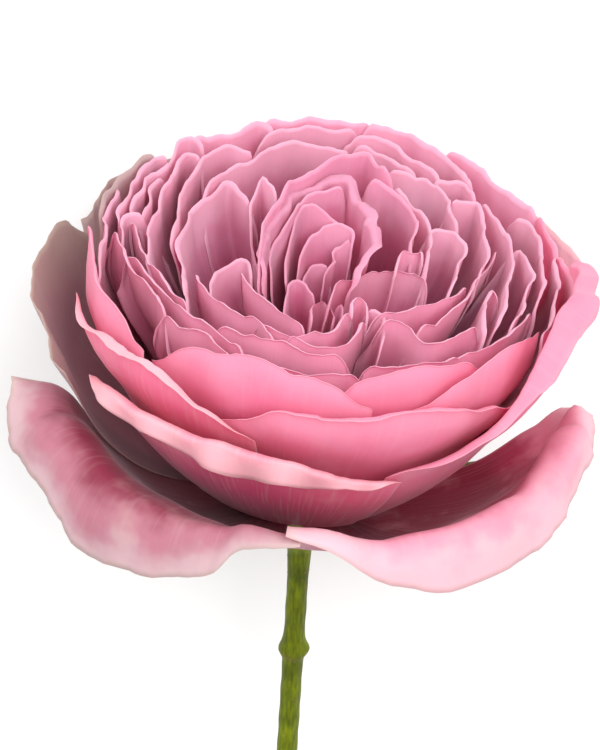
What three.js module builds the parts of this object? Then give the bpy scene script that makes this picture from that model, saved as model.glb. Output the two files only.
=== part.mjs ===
// A cut garden rose, very full and quartered, lying on a table on its stem and its under petals.
//
// Every petal is a thin closed sheet. Its line is drawn on the plan of the open flower, seen down
// its own axis, and the sheet rises from the hip to that line inside one common cup shape. Lines
// that keep clear of each other on the plan give petals that keep clear of each other everywhere.
// Five guard petals spread outside the cup, with the sepals under them, and the stem carries them
// all. The finished flower is then laid down.

import * as THREE from 'three';

// ---- Driving dimensions, in millimetres and degrees -------------------------------------------

const CUP_WIDTH = 100;          // across the cup of petals, without the guard petals
const CUP_HEIGHT = 52;          // from the top of the hip to the rim, on the flower's axis
const RIM_SLOPE = 0.10;         // how much the rim drops towards the front, per millimetre
const PETAL_THICKNESS = 0.42;   // of the cup's petals at the rim; they thin towards the hip
const GUARD_THICKNESS = 0.6;
const GUARD_SPREAD = 15;        // how far the guard petals reach out past the cup's shoulder
const SEPAL_LENGTH = 32;
const SEPAL_WIDTH = 8;
const SEPAL_THICKNESS = 0.7;
const HIP_DIAMETER = 12;
const STEM_DIAMETER = 4.3;
const STEM_LENGTH = 150;        // from the top of the hip to the cut
const STEM_LEAN = 0.06;         // sideways run of the stem for each millimetre down
const STEM_OFFSET = 0.9;        // how far the stem steps aside under the hip
const NODE_SWELL = 1.42;        // the stem's width at a leaf scar, against its own width
const NODE_DEPTHS = [40, 104];  // how far below the hip's top the leaf scars sit
const CUT_SLANT = 0.9;          // drop of the cut face across the stem, per millimetre
const CLEARANCE = 0.3;          // between pieces that touch in the real flower

// ---- The common cup shape ----------------------------------------------------------------------

const PLAN_WIDTH = 100;         // the cup's width on the plan that the petal lines are drawn on
const PLAN_HEIGHT = 52;
const SCALE = CUP_WIDTH / PLAN_WIDTH;
const RISE = CUP_HEIGHT / PLAN_HEIGHT;

// Share of the plan radius that the cup has reached at each height above the hip.
const BOWL = [[0.3, 0.10], [2, 0.27], [5, 0.42], [10, 0.54], [20, 0.72], [30, 0.85], [40, 0.98], [60, 1]];
const FOOT_LEVELS = [0.3, 2, 5, 10, 20];
const UPPER_ROWS = 3;
const COLUMN_STEP = 7;          // along a petal's line, between columns of points
const COLUMN_LIMITS = [4, 8];

function bowl(z) {
  for (let i = 1; i < BOWL.length; i += 1) {
    const [z0, s0] = BOWL[i - 1];
    const [z1, s1] = BOWL[i];
    if (z <= z1) return s0 + (s1 - s0) * Math.max(0, z - z0) / (z1 - z0);
  }
  return 1;
}

// The flower's own frame: x to its right, f towards its front, z up its axis. World Y is -f.
function cupPoint(x, f, z) {
  const s = bowl(z) * SCALE;
  return new THREE.Vector3(x * s, -f * s, z * RISE);
}

function polar(radius, degrees) {
  const a = THREE.MathUtils.degToRad(degrees);
  return [radius * Math.sin(a), radius * Math.cos(a)];
}

// ---- Closed sheets -----------------------------------------------------------------------------

// Two grids of points, columns by rows, joined round their edges into one closed sheet.
// The under grid lies on the outside: with columns running left to right and rows upwards, the
// first grid faces back towards the viewer's far side.
function closedSheet(over, under) {
  const columns = over.length;
  const rows = over[0].length;
  const positions = [];
  for (const grid of [over, under]) {
    for (const column of grid) {
      for (const point of column) positions.push(point.x, point.y, point.z);
    }
  }
  const at = (side, i, j) => side * columns * rows + i * rows + j;
  const faces = [];
  const quad = (a, b, c, d) => faces.push(a, b, c, a, c, d);
  for (let i = 0; i + 1 < columns; i += 1) {
    for (let j = 0; j + 1 < rows; j += 1) {
      quad(at(0, i, j), at(0, i, j + 1), at(0, i + 1, j + 1), at(0, i + 1, j));
      quad(at(1, i, j), at(1, i + 1, j), at(1, i + 1, j + 1), at(1, i, j + 1));
    }
    quad(at(0, i, 0), at(0, i + 1, 0), at(1, i + 1, 0), at(1, i, 0));
    quad(at(0, i, rows - 1), at(1, i, rows - 1), at(1, i + 1, rows - 1), at(0, i + 1, rows - 1));
  }
  for (let j = 0; j + 1 < rows; j += 1) {
    quad(at(0, 0, j), at(1, 0, j), at(1, 0, j + 1), at(0, 0, j + 1));
    const last = columns - 1;
    quad(at(0, last, j), at(0, last, j + 1), at(1, last, j + 1), at(1, last, j));
  }
  const geometry = new THREE.BufferGeometry();
  geometry.setAttribute('position', new THREE.Float32BufferAttribute(positions, 3));
  geometry.setIndex(faces);
  geometry.computeVertexNormals();
  return geometry;
}

// A value read off a short list spread evenly over 0..1, with a smooth run between its entries.
function along(list, u) {
  const t = u * (list.length - 1);
  const i = Math.min(list.length - 2, Math.floor(t));
  const k = t - i;
  const smooth = k * k * (3 - 2 * k);
  return list[i] * (1 - smooth) + list[i + 1] * smooth;
}

// One petal of the cup: a line on the plan, and the heights of its edge along that line.
function cupPetal(line, heights) {
  const curve = new THREE.CatmullRomCurve3(line.map(([x, f]) => new THREE.Vector3(x, f, 0)));
  const [fewest, most] = COLUMN_LIMITS;
  const columns = THREE.MathUtils.clamp(Math.ceil(curve.getLength() / COLUMN_STEP), fewest, most);
  const over = [];
  const under = [];
  for (let i = 0; i <= columns; i += 1) {
    const u = i / columns;
    const point = curve.getPointAt(u);
    const tangent = curve.getTangentAt(u);
    const half = PETAL_THICKNESS / 2 / SCALE;
    const nx = -tangent.y * half;
    const nf = tangent.x * half;
    const top = along(heights, u) * (1 - END_FALL * Math.abs(2 * u - 1) ** 3);
    const last = FOOT_LEVELS[FOOT_LEVELS.length - 1];
    const levels = [...FOOT_LEVELS];
    for (let j = 1; j <= UPPER_ROWS; j += 1) levels.push(last + (top - last) * j / UPPER_ROWS);
    over.push(levels.map((z) => cupPoint(point.x - nx, point.y - nf, z)));
    under.push(levels.map((z) => cupPoint(point.x + nx, point.y + nf, z)));
  }
  return closedSheet(over, under);
}

// A closed sheet of even thickness round a grid of points, with its normals taken off the grid.
function gridSheet(grid, thickness) {
  const last = [grid.length - 1, grid[0].length - 1];
  const over = [];
  const under = [];
  grid.forEach((column, i) => {
    over.push([]);
    under.push([]);
    column.forEach((point, j) => {
      const du = grid[Math.min(last[0], i + 1)][j].clone().sub(grid[Math.max(0, i - 1)][j]);
      const dv = column[Math.min(last[1], j + 1)].clone().sub(column[Math.max(0, j - 1)]);
      const normal = du.cross(dv).normalize().multiplyScalar(thickness / 2);
      over[i].push(point.clone().add(normal));
      under[i].push(point.clone().sub(normal));
    });
  });
  return closedSheet(under, over);
}

function smoothStep(x, low, high) {
  const t = THREE.MathUtils.clamp((x - low) / (high - low), 0, 1);
  return t * t * (3 - 2 * t);
}

// ---- Cup petals, drawn on the plan -------------------------------------------------------------

// name, line on the plan [x, f] from one end to the other, extra height of its edge
const PLAN_PETALS = [
  // left side, outermost first
  ['left_1', [[-45, -10], [-43.3, -18], [-40.2, -26], [-37.6, -29.5]], 0],
  ['left_2', [[-43, 9.5], [-43.5, 2], [-43.6, -4], [-43, -12]], 0],
  ['left_3', [[-41, -6], [-41, -12.5], [-39, -20.5], [-37, -27], [-35, -29]], 0],
  ['left_4', [[-39.2, -8.5], [-38.5, -15], [-36, -22.5], [-34, -27.5], [-31, -36], [-29, -35.5]], 0],
  ['left_5', [[-42, -1], [-39, 4.5], [-34.5, 12.5], [-32.5, 16.5], [-30, 21.5]], 0],
  ['left_6', [[-33.2, 3.5], [-34.6, -6], [-34, -18.5], [-32, -29], [-31, -31.5], [-29, -31]], 0],
  ['left_7', [[-29.6, -3.5], [-30.2, -12], [-30, -20], [-27.2, -31], [-25, -34], [-19, -35.5]], 0],
  ['left_8', [[-38.4, -5], [-36.5, 0.5], [-34, 6], [-31, 11], [-26, 19]], 0],
  ['left_9', [[-36.2, 7.3], [-32, 14], [-27, 20], [-22, 23.4], [-15, 30]], 0],
  ['left_10', [[-25, 18], [-27.5, 7], [-28, -3], [-27, -13], [-22, -23.5], [-20.6, -23.8],
    [-17.5, -21]], -1],
  ['left_11', [[-14.8, -4.5], [-16, -11], [-16.5, -16], [-15.5, -21.5], [-14.4, -23.5],
    [-12.6, -19.5]], -2],
  ['left_12', [[-25.8, -19.8], [-24.7, -24], [-20, -29], [-16.5, -34], [-12, -38.5], [-7, -41],
    [0, -39]], 0],
  // back, outermost first
  ['back_1', [[-29, -38], [-23, -40.6], [-20, -44], [-16, -45]], 0],
  ['back_2', [[-16.5, -47.2], [-8.5, -49.4], [-3, -51], [3.5, -52.1]], 0],
  ['back_3', [[4.6, -50.6], [10, -50], [16, -46.5], [21, -41.2], [26.4, -35]], 0],
  ['back_4', [[2, -46], [9, -45.3], [12.5, -43.4], [18.4, -36]], 0],
  // right side, outermost last
  ['right_1', [[11.4, -28.6], [15, -23], [18, -19], [19.2, -14], [19, -6.3]], 0],
  ['right_2', [[10.6, -34.5], [16.9, -33.6], [20.4, -30], [23, -23], [24.2, -18.2]], 0],
  ['right_3', [[20.4, -15.9], [23.4, -16], [25.3, -12.6], [24.5, -6], [23.4, 1.4]], 0],
  ['right_4', [[23.4, -26.6], [27.9, -27.6], [29, -20], [29.5, -14], [29.5, -8.5]], 0],
  ['right_5', [[19.6, -34.4], [24.2, -34.6], [26.4, -32.6], [27.2, -30.4]], 0],
  ['right_6', [[29.4, -27.4], [33, -18], [35, -12.8], [35.3, -6], [34.4, 5], [33.2, 11]], 0],
  ['right_7', [[21.2, -44.6], [25.2, -41.4], [30.6, -36.2], [36.3, -29.4], [39, -26.4]], 0],
  ['right_8', [[40, -24.4], [43, -17], [45.1, -10.4], [46.3, -2], [46, 6]], 0],
  ['right_9', [[35.6, -25.2], [39.7, -18.8], [41.3, -13.8], [41.2, -5.8], [40.2, 4]], 0],
  // inside front
  ['front_1', [[10, 30.5], [18.9, 28.4], [25.6, 24.6], [31, 20], [36.2, 13], [38.2, 8.4]], 0],
  ['front_2', [[-9.8, 21.2], [-5.5, 22.4], [-0.6, 20], [3.7, 17.4], [5.3, 13.8]], -2],
  ['front_3', [[12.2, 16.2], [15.6, 16.9], [21.2, 20.8], [26.1, 16.6], [29.2, 14.4]], 0],
  ['front_4', [[18.6, 16], [24.9, 8.2], [27.7, 1.6], [29.4, -5.5], [31.4, -11.6]], -1],
  ['front_5', [[10.8, 12.4], [18, 8.6], [22.8, 5], [26.2, 0.8]], -1],
  ['front_6', [[0.9, 5], [4.5, -1.6], [9.3, -4.2], [15.9, -4.2], [19.4, -3.4]], -3],
  ['front_7', [[-25.2, 7.7], [-23.2, 11.9], [-18.4, 15.9], [-12.6, 19.8], [-8.4, 25]], -1],
  ['front_8', [[-22.2, 10.4], [-21.8, 4.2], [-18.9, -0.6], [-17, -1.2], [-15.2, 1.2]], -3],
  // the folded heart, outermost first
  ['heart_3', [[-13, 0.6], [-13.3, -9], [-10.6, -19.4], [-6.4, -27.6], [-0.6, -33.6], [4.2, -37],
    [7.6, -33], [9.4, -31]], 2],
  ['heart_2', [[7.6, -29], [11, -26.6], [14, -21.7], [15.8, -15.6], [16.1, -9]], 0],
  ['heart_1', [[-11.8, 1], [-12, -9.4], [-9, -19.4], [-3.6, -27.4], [0, -29.3], [3, -26.5], [6.2, -16.5],
    [6.3, -9]], 0],
  ['heart_4', [[-10.6, -5.4], [-10.4, -10.5], [-8.5, -15.8], [-4, -23], [0.3, -25.6]], -1],
  ['heart_5', [[-7.4, -3.7], [-8, -12], [-6.8, -17], [-2.6, -19.8], [1.3, -19]], -3],
];

// The petals that close the cup at the front: plan radius at each end, the azimuths that they
// run between, and the heights of their edge from one end to the other.
const RING_PETALS = [
  { name: 'crest_left', radii: [42, 42], run: [-46, 16], heights: [42, 50, 52.5, 50.5, 44] },
  { name: 'crest_middle', radii: [40.3, 40.3], run: [3, 52], heights: [44, 50.5, 52, 51, 46] },
  { name: 'crest_right', radii: [43, 42.8], run: [25, 72], heights: [44, 50, 53, 49] },
  { name: 'cup_front', radii: [45.3, 45.3], run: [-22, 62], heights: [38, 45, 45, 46.5, 43, 38] },
  { name: 'cup_left', radii: [46.6, 44.9], run: [-98, -45], heights: [46, 54, 52.5, 50, 45] },
  { name: 'cup_right', radii: [49.5, 48], run: [28, 100], heights: [31, 35, 44, 55, 58, 57, 53] },
  { name: 'lip_left', radii: [48.4, 46.8], run: [-76, -12], heights: [44, 43.8, 45.5, 46.2, 41.5, 36] },
  { name: 'lip_front', radii: [50.5, 50.5], run: [-59, 26], heights: [34, 38, 37.6, 38, 36.6, 32, 28] },
];
const RING_STEPS = 6;
const END_FALL = 0.05;          // share of its height that a petal loses at each end

function ringLine({ radii, run }) {
  const points = [];
  for (let i = 0; i <= RING_STEPS; i += 1) {
    const t = i / RING_STEPS;
    points.push(polar(radii[0] + (radii[1] - radii[0]) * t, run[0] + (run[1] - run[0]) * t));
  }
  return points;
}

const RIM_DIP = 1;              // how far the rim on the axis lies under the cup's full height

function planHeights(line, extra) {
  return line.map(([, f]) => PLAN_HEIGHT - RIM_DIP - RIM_SLOPE * f + extra);
}

// ---- Guard petals and sepals -------------------------------------------------------------------

// The guards hug the cup up to its shoulder, outside every cup petal, and part from it there.
// The inner ones lie between the cup and the outer ones. Each point is [plan radius, height].
const HIP_RADIUS = HIP_DIAMETER / 2;
const FOOT_GAP = 0.8;
const SHOULDER = 46;
const PLAN_SPREAD = 15;
const OUTER_HUG = [[16.5, 1.0], [26, 3.8], [35.5, 8.8], [43, 15.6]];
const INNER_HUG = [[17.2, 2.1], [26, 4.9], [34.8, 9.8], [42.2, 16.6]];
const OUTER_FOOT = -0.9;
const INNER_FOOT = 0;
const GUARD_ROWS = 11;
const FOOT_NARROW = 0.78;       // share of its angle that a guard petal keeps at the hip
const FLATTEN = 1.13;           // how much further out an under petal lies where the table presses it
const FLATTEN_FROM = 1.6;

function guardPlace([r, z]) {
  const shoulder = Math.min(r, SHOULDER) * SCALE;
  return [shoulder + Math.max(0, r - SHOULDER) * GUARD_SPREAD / PLAN_SPREAD, z * RISE];
}

const under = (low) => [[51, 27], [53.3, 36 - low * 0.3], [54, 44 - low]];

// Each station is an azimuth and the last points of the profile there, from the shoulder outwards.
const GUARDS = [
  { name: 'guard_left', stations: [
    [-74, [[47.5, 21.5], [51, 24], [55.5, 25], [60, 26]]],
    [-68, [[47.3, 21.3], [52, 24.5], [57, 24.5], [61, 20.5]]],
    [-61, [[47.2, 20.8], [52, 23.5], [57.5, 21.5], [60.5, 14.5]]],
    [-53, [[47, 20], [52, 22], [56, 18.5], [58, 12]]],
    [-45, [[47, 19], [52, 20.5], [56.5, 15], [58, 7.5]]],
    [-36, [[47, 17.5], [52, 19], [56, 14], [57.5, 6.5]]],
    [-26, [[47, 17.5], [51.5, 19], [55, 15.5], [57, 9]]],
    [-13, [[47, 18.2], [50.7, 20.8], [53.7, 18.8], [55.3, 15]]],
    [-0.3, [[47, 19], [50, 22.5], [52.5, 23.8], [54.5, 23.5]]]] },
  { name: 'guard_right', stations: [
    [0.3, [[47, 19], [50, 22.5], [52.5, 23.8], [54.5, 23.5]]],
    [13, [[47, 19], [50.7, 22.2], [53.5, 20.8], [54.8, 18]]],
    [29, [[47, 19], [51, 22], [54.5, 18], [56, 12]]],
    [39, [[47, 19], [51.5, 22.5], [55, 18.5], [56.5, 12]]],
    [49, [[47, 19], [51.5, 24], [55.5, 20], [57, 13]]],
    [56, [[47, 19.5], [52, 26], [56, 24], [58, 17.5]]],
    [62, [[47, 20.5], [51.8, 30], [57, 30.5], [58.5, 22]]],
    [67, [[47.2, 21], [51, 32.5], [55.8, 35], [58.3, 28]]],
    [72, [[47.4, 21.5], [50.3, 31], [53.5, 36], [57, 33.5]]],
    [79, [[47.2, 20.5], [49.6, 26.5], [51.5, 30.5], [54, 31]]],
    [88, [[46.6, 19], [48.8, 23], [50.3, 25.5], [52, 26.5]]],
    [97, [[45.6, 17.6], [47.2, 19.5], [48.6, 21], [50, 22]]]] },
  { name: 'guard_back_left', inner: true, stations: [
    [-63, [[46.6, 23], [49.2, 28], [50.8, 31], [52, 33]]],
    [-70, [[47, 24.5], [50.5, 31], [53, 35], [54.5, 37.5]]],
    [-79, [[47.6, 24], [52, 33], [54.5, 38.5], [56, 42]]],
    [-92, [[48, 22], [52, 34], [54.5, 40], [56, 45]]],
    [-104, [[48, 22], [52, 34], [54, 40], [55, 44]]],
    [-113, [[48, 22], [51.5, 32], [53, 37], [54, 40]]],
    [-118, [[48, 21], [51, 29], [52.5, 33], [53.5, 35]]]] },
  { name: 'guard_under_left', flatten: true, stations: [
    [-177, under(8.5)], [-168, under(2)], [-158, under(0)], [-148, under(0)], [-138, under(1.5)],
    [-130, under(4)], [-124, under(9)]] },
  { name: 'guard_under_right', flatten: true, stations: [
    [116, under(9)], [123, under(4)], [132, under(1.5)], [144, under(0)], [156, under(0)],
    [168, under(2)], [176, under(8.5)]] },
];

function guardPetal({ stations, inner = false, flatten = false }) {
  const foot = [HIP_RADIUS + FOOT_GAP, inner ? INNER_FOOT : OUTER_FOOT];
  const hug = inner ? INNER_HUG : OUTER_HUG;
  const turns = stations.map(([degrees]) => degrees);
  const middle = (turns[0] + turns[turns.length - 1]) / 2;
  const ordered = turns[0] < turns[turns.length - 1] ? stations : [...stations].reverse();
  const grid = ordered.map(([degrees, tail]) => {
    const places = [foot, ...[...hug, ...tail].map(guardPlace)];
    const curve = new THREE.CatmullRomCurve3(places.map(([r, z]) => new THREE.Vector3(r, z, 0)));
    const column = [];
    for (let j = 0; j <= GUARD_ROWS; j += 1) {
      const v = j / GUARD_ROWS;
      const { x: radius, y: height } = curve.getPointAt(v);
      const narrow = FOOT_NARROW + (1 - FOOT_NARROW) * smoothStep(v, 0, 0.5);
      const turn = middle + (degrees - middle) * narrow;
      const away = THREE.MathUtils.degToRad(180 - Math.abs(turn));
      const press = flatten ? Math.min(1 / Math.cos(away), FLATTEN) : 1;
      const [x, f] = polar(radius * (1 + (press - 1) * Math.min(1, v * FLATTEN_FROM)), turn);
      column.push(new THREE.Vector3(x, -f, height));
    }
    return column;
  });
  return gridSheet(grid, GUARD_THICKNESS);
}

const SEPAL_COUNT = 5;
const SEPAL_TURN = 36;
const SEPAL_DROPS = [-3.4, -2.7, -0.9, 1.6, 4.2];       // height at each quarter of its length
const SEPAL_TAPER = [0.85, 1, 0.86, 0.68, 0.42, 0.1];   // width at each fifth, against its full width

function sepal(index) {
  const foot = HIP_RADIUS + CLEARANCE + SEPAL_THICKNESS / 2;
  const run = SEPAL_LENGTH / (SEPAL_DROPS.length - 1);
  const path = SEPAL_DROPS.map((z, k) => new THREE.Vector3(foot + k * run, z > 0 ? z * RISE : z, 0));
  const spine = new THREE.CatmullRomCurve3(path);
  const turn = THREE.MathUtils.degToRad(SEPAL_TURN + index * 360 / SEPAL_COUNT);
  const grid = [-1, -0.5, 0, 0.5, 1].map((u) => SEPAL_TAPER.map((taper, j) => {
    const { x: radius, y: height } = spine.getPointAt(j / (SEPAL_TAPER.length - 1));
    const side = u * taper * SEPAL_WIDTH / 2;
    const x = radius * Math.sin(turn) + side * Math.cos(turn);
    const f = radius * Math.cos(turn) - side * Math.sin(turn);
    return new THREE.Vector3(x, -f, height);
  }));
  return gridSheet(grid, SEPAL_THICKNESS);
}

// ---- Stem with its hip -------------------------------------------------------------------------

const SETTLE_DEPTH = 16;

function stemCentre(depth) {
  return (STEM_OFFSET + STEM_LEAN * depth) * smoothStep(depth, 0, SETTLE_DEPTH);
}

// [depth below the hip's top, radius] down the hip and its neck, then the even stem.
const STEM_RADIUS = STEM_DIAMETER / 2;
const STEM_PROFILE = [
  [0.4, HIP_RADIUS * 0.6], [0.5, HIP_RADIUS * 0.92], [2, HIP_RADIUS * 0.98], [5, HIP_RADIUS],
  [8.5, HIP_RADIUS * 0.86], [12, HIP_RADIUS * 0.6], [15, STEM_RADIUS * 1.16], [22, STEM_RADIUS],
];

const NODE_ABOVE = 5;           // how far above a leaf scar the swelling starts
const NODE_BELOW = 5;

function stemProfile() {
  const rings = [...STEM_PROFILE];
  let from = STEM_PROFILE[STEM_PROFILE.length - 1][0];
  for (const node of NODE_DEPTHS) {
    const start = node - NODE_ABOVE;
    rings.push([(from + start) / 2, STEM_RADIUS], [start, STEM_RADIUS],
      [node - 1.5, STEM_RADIUS * NODE_SWELL * 0.94], [node, STEM_RADIUS * NODE_SWELL],
      [node + 2, STEM_RADIUS * 1.12], [node + NODE_BELOW, STEM_RADIUS]);
    from = node + NODE_BELOW;
  }
  rings.push([(from + STEM_LENGTH) / 2, STEM_RADIUS], [STEM_LENGTH - STEM_DIAMETER, STEM_RADIUS],
    [STEM_LENGTH, STEM_RADIUS]);
  return rings;
}

const STEM_SIDES = 12;

function stemSolid() {
  const sides = STEM_SIDES;
  const rings = stemProfile();
  const positions = [];
  rings.forEach(([depth, radius], k) => {
    const slant = k === rings.length - 1 ? CUT_SLANT : 0;
    for (let i = 0; i < sides; i += 1) {
      const a = i / sides * 2 * Math.PI;
      const y = radius * Math.sin(a);
      positions.push(stemCentre(depth) + radius * Math.cos(a), y, -depth + slant * (y - radius));
    }
  });
  const top = positions.length / 3;
  positions.push(0, 0, -rings[0][0]);
  const lowest = rings[rings.length - 1];
  positions.push(stemCentre(lowest[0]), 0, -lowest[0] - CUT_SLANT * lowest[1]);
  const faces = [];
  for (let i = 0; i < sides; i += 1) {
    const n = (i + 1) % sides;
    faces.push(top, i, n);
    for (let k = 0; k + 1 < rings.length; k += 1) {
      const a = k * sides;
      const b = a + sides;
      faces.push(a + i, b + i, b + n, a + i, b + n, a + n);
    }
    const end = (rings.length - 1) * sides;
    faces.push(top + 1, end + n, end + i);
  }
  const geometry = new THREE.BufferGeometry();
  geometry.setAttribute('position', new THREE.Float32BufferAttribute(positions, 3));
  geometry.setIndex(faces);
  geometry.computeVertexNormals();
  return geometry;
}

// ---- Materials ---------------------------------------------------------------------------------

const petalPaint = (colour) => new THREE.MeshStandardMaterial({
  color: colour, roughness: 0.62, metalness: 0, side: THREE.DoubleSide });
const INNER_PINK = '#d98fb2';
const OUTER_PINK = '#ef86a6';
const AGED_PINK = '#b78a95';
const SEPAL_GREEN = '#7d8a46';
const STEM_GREEN = '#6d7a1e';

// ---- Assembly, in the flower's own frame -------------------------------------------------------

const flower = new THREE.Group();

function add(name, geometry, colour) {
  const mesh = new THREE.Mesh(geometry, petalPaint(colour));
  mesh.name = name;
  flower.add(mesh);
}

for (const [name, line, extra] of PLAN_PETALS) {
  add(`petal_${name}`, cupPetal(line, planHeights(line, extra)), INNER_PINK);
}
for (const ring of RING_PETALS) {
  add(`petal_${ring.name}`, cupPetal(ringLine(ring), ring.heights), OUTER_PINK);
}
for (const guard of GUARDS) add(`petal_${guard.name}`, guardPetal(guard), AGED_PINK);
for (let index = 0; index < SEPAL_COUNT; index += 1) add(`sepal_${index + 1}`, sepal(index), SEPAL_GREEN);
add('stem', stemSolid(), STEM_GREEN);

// ---- Laying the flower down --------------------------------------------------------------------

// The flower tips back about X until its back petals and its stem's end both touch the table.
// Seen in its own frame it rests on the far side, so depth is measured along +Y.
flower.updateMatrixWorld(true);
const points = [];
flower.traverse((item) => {
  if (!item.isMesh) return;
  const place = item.geometry.getAttribute('position');
  for (let i = 0; i < place.count; i += 1) points.push([place.getX(i), place.getY(i), place.getZ(i)]);
});
const CUT_ZONE = 12;
const heel = points.filter(([, , z]) => z < CUT_ZONE - STEM_LENGTH).reduce((a, b) => (b[1] > a[1] ? b : a));
const tilt = points.filter(([, , z]) => z > 0)
  .reduce((most, [, y, z]) => Math.max(most, Math.atan2(y - heel[1], z - heel[2])), 0);

// Own axes to world: the axis z ends up pointing to -Y and a little up, the front faces up.
const sin = Math.sin(tilt);
const cos = Math.cos(tilt);
const lay = new THREE.Matrix4().set(
  -1, 0, 0, 0,
  0, -sin, -cos, 0,
  0, -cos, sin, 0,
  0, 0, 0, 1);
const low = new THREE.Vector3(Infinity, Infinity, Infinity);
const high = low.clone().negate();
for (const [x, y, z] of points) {
  const laid = new THREE.Vector3(x, y, z).applyMatrix4(lay);
  low.min(laid);
  high.max(laid);
}
const centre = low.clone().add(high).multiplyScalar(0.5);
lay.setPosition(-centre.x, -centre.y, -low.z);

const group = new THREE.Group();
group.name = 'cut_rose';
flower.traverse((item) => {
  if (item.isMesh) item.geometry.applyMatrix4(lay);
});
group.add(flower);

export default group;
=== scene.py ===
"""A cut garden rose lying on a pale table, built in metres in the frame of its CAD model.

The flower has a frame of its own, in millimetres: x to its right, f towards its front and z up its
axis from the top of the hip. Each petal is grown in that frame as one thin closed sheet, then the
whole flower is laid down as the CAD model lies.
"""

import logging
import math
from dataclasses import dataclass
from enum import Enum
from typing import Any, Sequence

import bpy
import numpy as np
from mathutils import Matrix, Vector

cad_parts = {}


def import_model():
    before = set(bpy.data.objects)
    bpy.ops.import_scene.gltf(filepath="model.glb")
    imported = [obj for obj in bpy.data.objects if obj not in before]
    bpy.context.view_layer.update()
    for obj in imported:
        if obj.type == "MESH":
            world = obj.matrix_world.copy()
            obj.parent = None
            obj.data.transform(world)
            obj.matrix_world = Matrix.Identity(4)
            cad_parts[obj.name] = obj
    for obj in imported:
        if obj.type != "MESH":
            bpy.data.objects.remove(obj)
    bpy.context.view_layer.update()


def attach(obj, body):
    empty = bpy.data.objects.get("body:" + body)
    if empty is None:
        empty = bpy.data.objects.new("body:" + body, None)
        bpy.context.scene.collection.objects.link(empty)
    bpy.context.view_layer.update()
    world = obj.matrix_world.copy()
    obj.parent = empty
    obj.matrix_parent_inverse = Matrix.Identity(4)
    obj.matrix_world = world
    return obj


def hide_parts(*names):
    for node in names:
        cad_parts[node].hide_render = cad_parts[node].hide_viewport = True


LOG = logging.getLogger("cut_rose")
MM = 0.001


# ---- Small helpers ----------------------------------------------------------------------------


def linear(colour: str) -> tuple[float, float, float, float]:
    """Turns an sRGB hex colour into linear light.

    Args:
        colour: Six hex digits after a #.

    Returns:
        Red, green, blue and an alpha of one.
    """
    parts = [int(colour[i:i + 2], 16) / 255 for i in (1, 3, 5)]
    light = [c / 12.92 if c <= 0.04045 else ((c + 0.055) / 1.055) ** 2.4 for c in parts]
    return light[0], light[1], light[2], 1.0


def node(tree: bpy.types.NodeTree, kind: str, links: dict[Any, Any] | None = None,
         **settings: Any) -> bpy.types.Node:
    """Adds a node with its settings, socket values and links.

    Args:
        tree: The node tree to add to.
        kind: The node's type name.
        links: For each input, by name or index, an output socket to link or a value to set.
        **settings: Properties of the node itself.

    Returns:
        The new node.
    """
    made = tree.nodes.new(kind)
    for name, value in settings.items():
        setattr(made, name, value)
    for name, value in (links or {}).items():
        if isinstance(value, bpy.types.NodeSocket):
            tree.links.new(value, made.inputs[name])
        else:
            made.inputs[name].default_value = value
    return made


def blank_material(name: str) -> tuple[bpy.types.Material, bpy.types.NodeTree]:
    """Makes a material whose node tree is empty.

    Args:
        name: What it is called.

    Returns:
        The material and its tree.
    """
    made = bpy.data.materials.new(name)
    made.use_nodes = True
    made.node_tree.nodes.clear()
    return made, made.node_tree


def linked_object(name: str, data: bpy.types.ID) -> bpy.types.Object:
    """Makes an object and links it to the scene.

    Args:
        name: The object's name.
        data: Its mesh, light or camera.

    Returns:
        The object, at the origin.
    """
    made = bpy.data.objects.new(name, data)
    bpy.context.scene.collection.objects.link(made)
    return made


def smooth(x: np.ndarray | float, low: float, high: float) -> np.ndarray | float:
    """Returns a smooth step from 0 at low to 1 at high."""
    t = np.clip((x - low) / (high - low), 0.0, 1.0)
    return t * t * (3 - 2 * t)


SPLINE_STEPS = 24


def spline(points: np.ndarray, count: int) -> np.ndarray:
    """Runs an even-stepped smooth curve through points.

    Args:
        points: The points to pass through, one a row.
        count: How many points the result has.

    Returns:
        Points at equal steps along the curve.
    """
    ends = np.vstack([2 * points[0] - points[1], points, 2 * points[-1] - points[-2]])
    dense = []
    for a, b, c, d in zip(ends, ends[1:], ends[2:], ends[3:]):
        knots = np.cumsum([0.0] + [max(1e-6, np.linalg.norm(q - p)) ** 0.5
                                   for p, q in ((a, b), (b, c), (c, d))])
        t = np.linspace(knots[1], knots[2], SPLINE_STEPS, endpoint=False)[:, None]
        t0, t1, t2, t3 = knots
        ab = (t1 - t) / (t1 - t0) * a + (t - t0) / (t1 - t0) * b
        bc = (t2 - t) / (t2 - t1) * b + (t - t1) / (t2 - t1) * c
        cd = (t3 - t) / (t3 - t2) * c + (t - t2) / (t3 - t2) * d
        abc = (t2 - t) / (t2 - t0) * ab + (t - t0) / (t2 - t0) * bc
        bcd = (t3 - t) / (t3 - t1) * bc + (t - t1) / (t3 - t1) * cd
        dense.append((t2 - t) / (t2 - t1) * abc + (t - t1) / (t2 - t1) * bcd)
    dense.append(points[-1][None, :])
    path = np.vstack(dense)
    run = np.concatenate([[0.0], np.cumsum(np.linalg.norm(np.diff(path, axis=0), axis=1))])
    even = np.linspace(0, run[-1], count)
    return np.stack([np.interp(even, run, path[:, k]) for k in range(path.shape[1])], axis=1)


def ease(values: Sequence[float], u: np.ndarray) -> np.ndarray:
    """Reads a smooth value off a short list spread evenly over 0 to 1.

    Args:
        values: The list.
        u: Where to read it.

    Returns:
        The values at u.
    """
    spot = np.clip(u, 0, 1) * (len(values) - 1)
    low = np.minimum(spot.astype(int), len(values) - 2)
    part = spot - low
    part = part * part * (3 - 2 * part)
    listed = np.asarray(values, float)
    return listed[low] * (1 - part) + listed[low + 1] * part


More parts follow.
